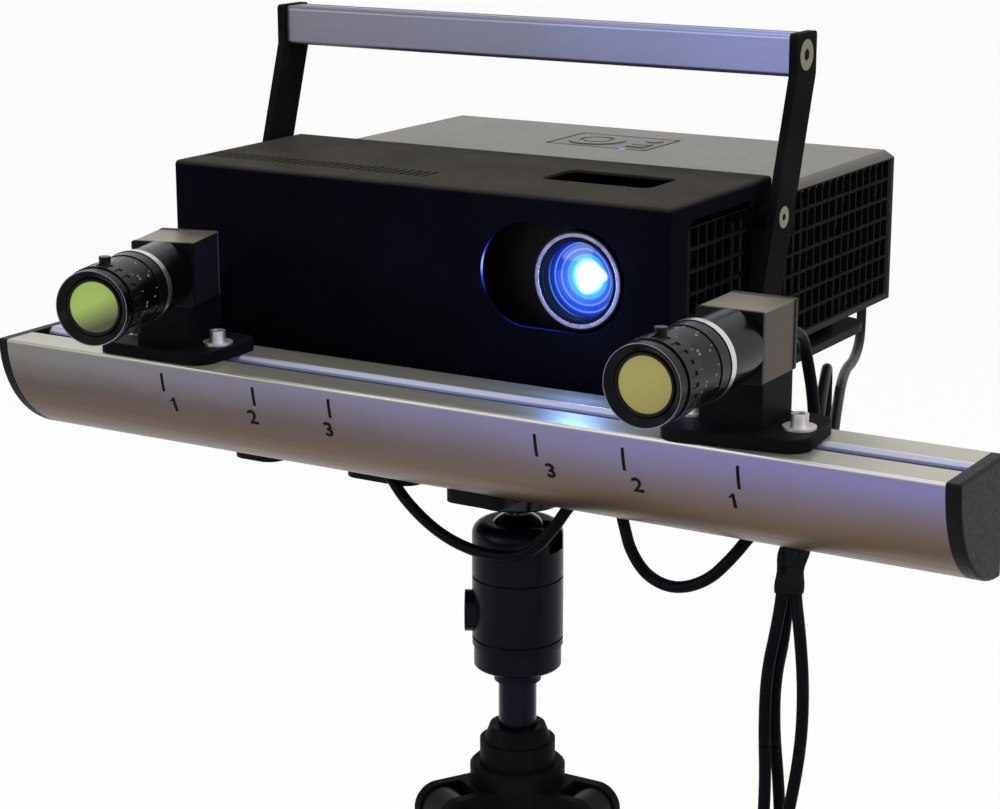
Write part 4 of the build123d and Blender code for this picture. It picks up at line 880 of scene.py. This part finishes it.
def soft_strip(name, x0, x1, y0, y1, z0, z1, rounding, finish):
    """A strip between two places on the rail's scale, rounded along its length."""
    loops = []
    ease = rounding / 2
    for x, inset in ((x0, ease), (x0 + ease, 0), (x1 - ease, 0), (x1, ease)):
        margin = rounding + inset
        back, front, top, foot = y1 - margin, y0 + margin, z1 - margin, z0 + margin
        loop = []
        for y, z, first in ((back, top, 0), (front, top, 90), (front, foot, 180),
                            (back, foot, 270)):
            for step in range(5):
                angle = math.radians(first + 22.5 * step)
                across, up = rounding * math.cos(angle), rounding * math.sin(angle)
                loop.append(on_rail(x, y + across, z + up))
        loops.append(loop)
    points, faces, flat = skin(loops)
    piece = made_piece(name, points, faces, finish, flat)
    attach(piece, "scanner")


soft_strip("hood_gasket", -176.5, 76.2, 158, 164.5, 71.68, 77.66, 1.2, foam_rubber)

# Base plate and bracket
# A folded plate bolted behind the rail, and the square tube with a side shelf that the
# quick-release plate grips, both powder coated.
dress(coated("base_paint", "0c0c0d", "161617", 0.5, pebble=1200), "base_plate", "tripod_bracket")

# Handle
# A grooved aluminium bar between two bent flat arms, with dull countersunk screws.
bar_skin, tree, shader, point = begin_finish("bar_skin", "75778c", 0.34, metal=0.85)
die_lines = grain(tree, point, 900, 3, stretch=(0.01, 1, 1))
drift = spread_between(tree, grain(tree, point, 12, 4), -0.03, 0.03)
drifted = sum_of(tree, "ADD", axis_of(tree, point, 0), drift)
run = spread_between(tree, drifted, 0, 1, -0.19, 0.09)
feed(shader, "Base Color", tones(tree, run, (0, "646369"), (0.5, "6b6d82"), (1, "7a7fae")))
feed(shader, "Roughness", spread_between(tree, die_lines, 0.28, 0.42))
relief(tree, shader, die_lines, 0.000015, 0.0004)
dress(bar_skin, "handle_bar")
arm_paint = coated("arm_paint", "0f0f11", "19191a", 0.5, pebble=1100, depth=0.00008, shine=0.005)
dress(arm_paint, "handle_arms")
dress(turned_metal("frame_screw", "6f6b5c", 0.4), "chassis_screws")

# Projector case
# Moulded parts: a dark tray, side grilles and rear panel, and a satin grey-brown cover.
case_black = coated("case_black", "0c0c0c", "161615", 0.45, pebble=1400, depth=0.00008)
dress(case_black, "projector_base", "rear_panel")
grille_black = coated("grille_black", "11110f", "191815", 0.38, pebble=1400, depth=0.00006,
                      edge=0.0003, shine=0.005)
dress(grille_black, "side_grilles")
cover_satin, tree, shader, point = begin_finish("cover_satin", "423f37", 0.4)
peel = grain(tree, point, 1600, 3)
satin_tone = tones(tree, grain(tree, point, 30, 6), (0.35, "423f37"), (0.8, "4f4b41"))
seat, seat_half_x, seat_half_y = on_rail(-55.5, 268, 71.6), 0.0275, 0.01925
seam_x = sum_of(tree, "ABSOLUTE", less(tree, axis_of(tree, point, 0), seat.x))
seam_y = sum_of(tree, "ABSOLUTE", less(tree, axis_of(tree, point, 1), seat.y))
over_x, over_y = less(tree, seam_x, seat_half_x), less(tree, seam_y, seat_half_y)
beyond = sum_of(tree, "MAXIMUM", over_x, over_y)
seam = inside(tree, beyond, -0.002, 0.0016, 0.0003)
# Painted shade: the cover is painted near black where it lies under the hood, fading out at the
# hood's rear edge.
hood_end = rail_low.y + 0.165
painted_hood_shade = spread_between(tree, axis_of(tree, point, 1), 1, 0, hood_end - 0.005, hood_end)
dark = sum_of(tree, "MAXIMUM", seam, painted_hood_shade)
# Painted shade: the cover's sides, below the bevel round its top, are painted darker than its top.
bevel_start, bevel_end = rail_high.z + 0.069, rail_high.z + 0.0713
on_flat = spread_between(tree, axis_of(tree, point, 2), 0, 1, bevel_start, bevel_end)
shaded = blended(tree, on_flat, "23211c", satin_tone)
feed(shader, "Base Color", blended(tree, dark, shaded, "060606"))
feed(shader, "Specular IOR Level", spread_between(tree, dark, 0.5, 0, 0, 1))
feed(shader, "Roughness", spread_between(tree, peel, 0.3, 0.5))
relief(tree, shader, peel, 0.00007, 0.0009)
dress(cover_satin, "projector_cover")

# Grille shade sheet
# A sheet of the same black foam behind the left grille, put there only for shade, so that no
# daylight is seen through the case.
soft_strip("dust_filter", -176.3, -174.3, 87, 312, -0.9, 64.3, 0.4, foam_rubber)

# Keypad
# A sprung plate of buttons let into the cover, with a round pad, a power button and a
# small blue lamp at its front edge.
key_satin = coated("key_satin", "38352e", "423f37", 0.4, pebble=1500, depth=0.00004,
                   edge=0.0003, shine=0.45)
dress(key_satin, "keypad_pad", "power_button")
blue_lamp, tree, shader, point = begin_finish("blue_lamp", "1a2a90", 0.2)
glimmer = grain(tree, point, 900, 2)
feed(shader, "Emission Color", tones(tree, glimmer, (0.3, "2a48ff"), (0.7, "6a86ff")))
shader.inputs["Emission Strength"].default_value = 1.6
lamp_place = Matrix.Translation(on_rail(-39.5, 247.2, 71.7)) @ Matrix.Rotation(math.pi / 2, 4, "Z")
lamp_width, lamp_length = 1.1, 3.4
keypad_lamp = thin_bar("keypad_lamp", lamp_place, lamp_width, lamp_length, blue_lamp)
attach(keypad_lamp, "scanner")

# Projector lens
# Stepped black barrel with a ribbed focus ring; the lamp is on, so blue light fills the
# front glass in rings and is brightest right of its middle.
lens_middle = Matrix.Translation(on_rail(36.4, 66, 44)) @ Matrix.Rotation(math.pi / 2, 4, "X")
barrel_black = anodised("barrel_black", "0d0d10", "17171b", 0.28, (1, 1, 1), metal=0.5)
dress(barrel_black, "projector_lens_barrel")
focus_grey, tree, shader, point = begin_finish("focus_grey", "4b4858", 0.28, metal=0.8, shine=0.1)
near_lens = seen_from(tree, point, lens_middle)
radius = distance_from(tree, axis_of(tree, near_lens, 0), axis_of(tree, near_lens, 1), 0, 0)
bright_line = inside(tree, radius, 0.0181, 0.0209, 0.0005)
turned = grain(tree, point, 300, 2)
line_tone = tones(tree, turned, (0.3, "7c7894"), (0.7, "9592b0"))
feed(shader, "Base Color", blended(tree, bright_line, "17161c", line_tone))
feed(shader, "Roughness", spread_between(tree, turned, 0.24, 0.36))
relief(tree, shader, turned, 0.000003, 0.0003)
dress(focus_grey, "projector_focus_ring")
lit_glass, tree, shader, point = begin_finish("lit_glass", "101830", 0.08)
near_lens = seen_from(tree, point, lens_middle)
across, upward = axis_of(tree, near_lens, 0), axis_of(tree, near_lens, 1)

# Rings of light, each round a middle that lies nearer the bright spot the smaller it is
spot_x, spot_y, glass_radius, ring_rate = 0.0062, 0.0032, 0.0172, 40
away = distance_from(tree, across, upward, spot_x, spot_y)
toward_x = product(tree, less(tree, across, spot_x), -spot_x)
toward_y = product(tree, less(tree, upward, spot_y), -spot_y)
toward = sum_of(tree, "ADD", toward_x, toward_y)
room_left = sum_of(tree, "ADD", product(tree, away, glass_radius), toward)
room_left = sum_of(tree, "MAXIMUM", room_left, 0.000001)
nested = sum_of(tree, "DIVIDE", product(tree, away, away), room_left)
waves = sum_of(tree, "SINE", product(tree, nested, ring_rate))
crests = spread_between(tree, waves, 0, 1, 0.3, 1)
bright_line = product(tree, crests, spread_between(tree, nested, 0.2, 0.9, 0.3, 0.6))
glow = tones(tree, nested, (0.2, "ffffff"), (0.3, "d4fbff"), (0.42, "35d6ff"),
             (0.58, "2f63ff"), (0.8, "3038e8"), (0.97, "10128a"))
hot_x, hot_y, squeeze, slope = 0.0072, 0.0034, 0.6, 0.2
squeezed = product(tree, across, squeeze)
sloped = sum_of(tree, "ADD", upward, product(tree, across, slope))
streak = distance_from(tree, squeezed, sloped, hot_x * squeeze, hot_y + hot_x * slope)
hot = spread_between(tree, streak, 1, 0, 0.0012, 0.0037)
ringed = blended(tree, product(tree, bright_line, 0.55), glow, "59c4ff")
feed(shader, "Emission Color", blended(tree, hot, ringed, "f4ffff"))
power = spread_between(tree, nested, 4.0, 0.85, 0.12, 0.5)
power = product(tree, power, spread_between(tree, bright_line, 0.7, 1.35, 0, 1))
feed(shader, "Emission Strength", sum_of(tree, "ADD", power, product(tree, hot, 3)))
dress(lit_glass, "projector_glass")

# Light engine and fan
# Inside the case: the finned block behind the lens and the cooling fan by the right grille.
dress(anodised("engine_metal", "242426", "303032", 0.5, (1, 1, 1), metal=0.8), "light_engine")
dress(coated("fan_black", "121212", "1d1d1d", 0.4, pebble=900), "cooling_fan")

# Floor and light
# A plain pale floor that runs up into a white surround, one wide lamp overhead and two
# weak ones from the sides.
def white_to_the_eye(tree, plain, white, share):
    """Mix a plain surface with white for the camera, for reflections and through glass."""
    rays = add(tree, "ShaderNodeLightPath").outputs
    seen = sum_of(tree, "MAXIMUM", rays["Is Camera Ray"], rays["Is Glossy Ray"])
    seen = sum_of(tree, "MAXIMUM", seen, rays["Is Transmission Ray"])
    amount = product(tree, seen, share)
    return add(tree, "ShaderNodeMixShader", {0: amount, 1: plain, 2: white}).outputs[0]


pale = bpy.data.materials.new("pale_floor")
pale.use_nodes = True
tree = pale.node_tree
tree.nodes.clear()
floor_paint = add(tree, "ShaderNodeBsdfDiffuse", {"Color": ink("f2f1ef")}).outputs[0]
floor_white = add(tree, "ShaderNodeEmission", {"Color": (1, 1, 1, 1), "Strength": 1.0}).outputs[0]
shown = white_to_the_eye(tree, floor_paint, floor_white, 0.94)
add(tree, "ShaderNodeOutputMaterial", {"Surface": shown})
floor_reach = 14
corners = [(x * floor_reach, y * floor_reach, 0) for x, y in ((-1, -1), (1, -1), (1, 1), (-1, 1))]
floor = made_piece("floor", corners, [(0, 1, 2, 3)], pale)

room = bpy.data.worlds.new("room")
scene.world = room
room.use_nodes = True
tree = room.node_tree
tree.nodes.clear()
soft = add(tree, "ShaderNodeBackground", {"Color": ink("e9e7e6"), "Strength": 0.6}).outputs[0]
bright = add(tree, "ShaderNodeBackground", {"Color": (1, 1, 1, 1), "Strength": 1.0}).outputs[0]
add(tree, "ShaderNodeOutputWorld", {"Surface": white_to_the_eye(tree, soft, bright, 1.0)})


def soft_lamp(name, spot, size, power, colour):
    """A square soft lamp that faces the scanner."""
    light = bpy.data.lights.new(name, "AREA")
    light.size = size
    light.energy = power
    light.color = colour
    lamp = bpy.data.objects.new(name, light)
    scene.collection.objects.link(lamp)
    lamp.location = spot
    aim = Vector((0, 0, 0.6)) - lamp.location
    lamp.rotation_mode = "QUATERNION"
    lamp.rotation_quaternion = aim.to_track_quat("-Z", "Y")


soft_lamp("overhead", (0.2, 0.1, 2.6), 1.8, 34, (1, 0.98, 0.95))
soft_lamp("front_left", (-1.2, -1.9, 1.3), 1.2, 13, (0.97, 0.97, 1))
soft_lamp("right_side", (2.0, -0.3, 1.2), 1.0, 10, (1, 0.97, 0.94))

# The projector's own blue light, from just behind the hood's window
glow_lamp = bpy.data.lights.new("lens_glow", "POINT")
glow_lamp.energy = 0.12
glow_lamp.color = (0.16, 0.36, 1)
glow_lamp.shadow_soft_size = 0.006
lamp = bpy.data.objects.new("lens_glow", glow_lamp)
scene.collection.objects.link(lamp)
lamp.location = on_rail(36.4, 62.5, 40)
lamp.visible_camera = False
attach(lamp, "scanner")

scene.view_settings.view_transform = "Standard"
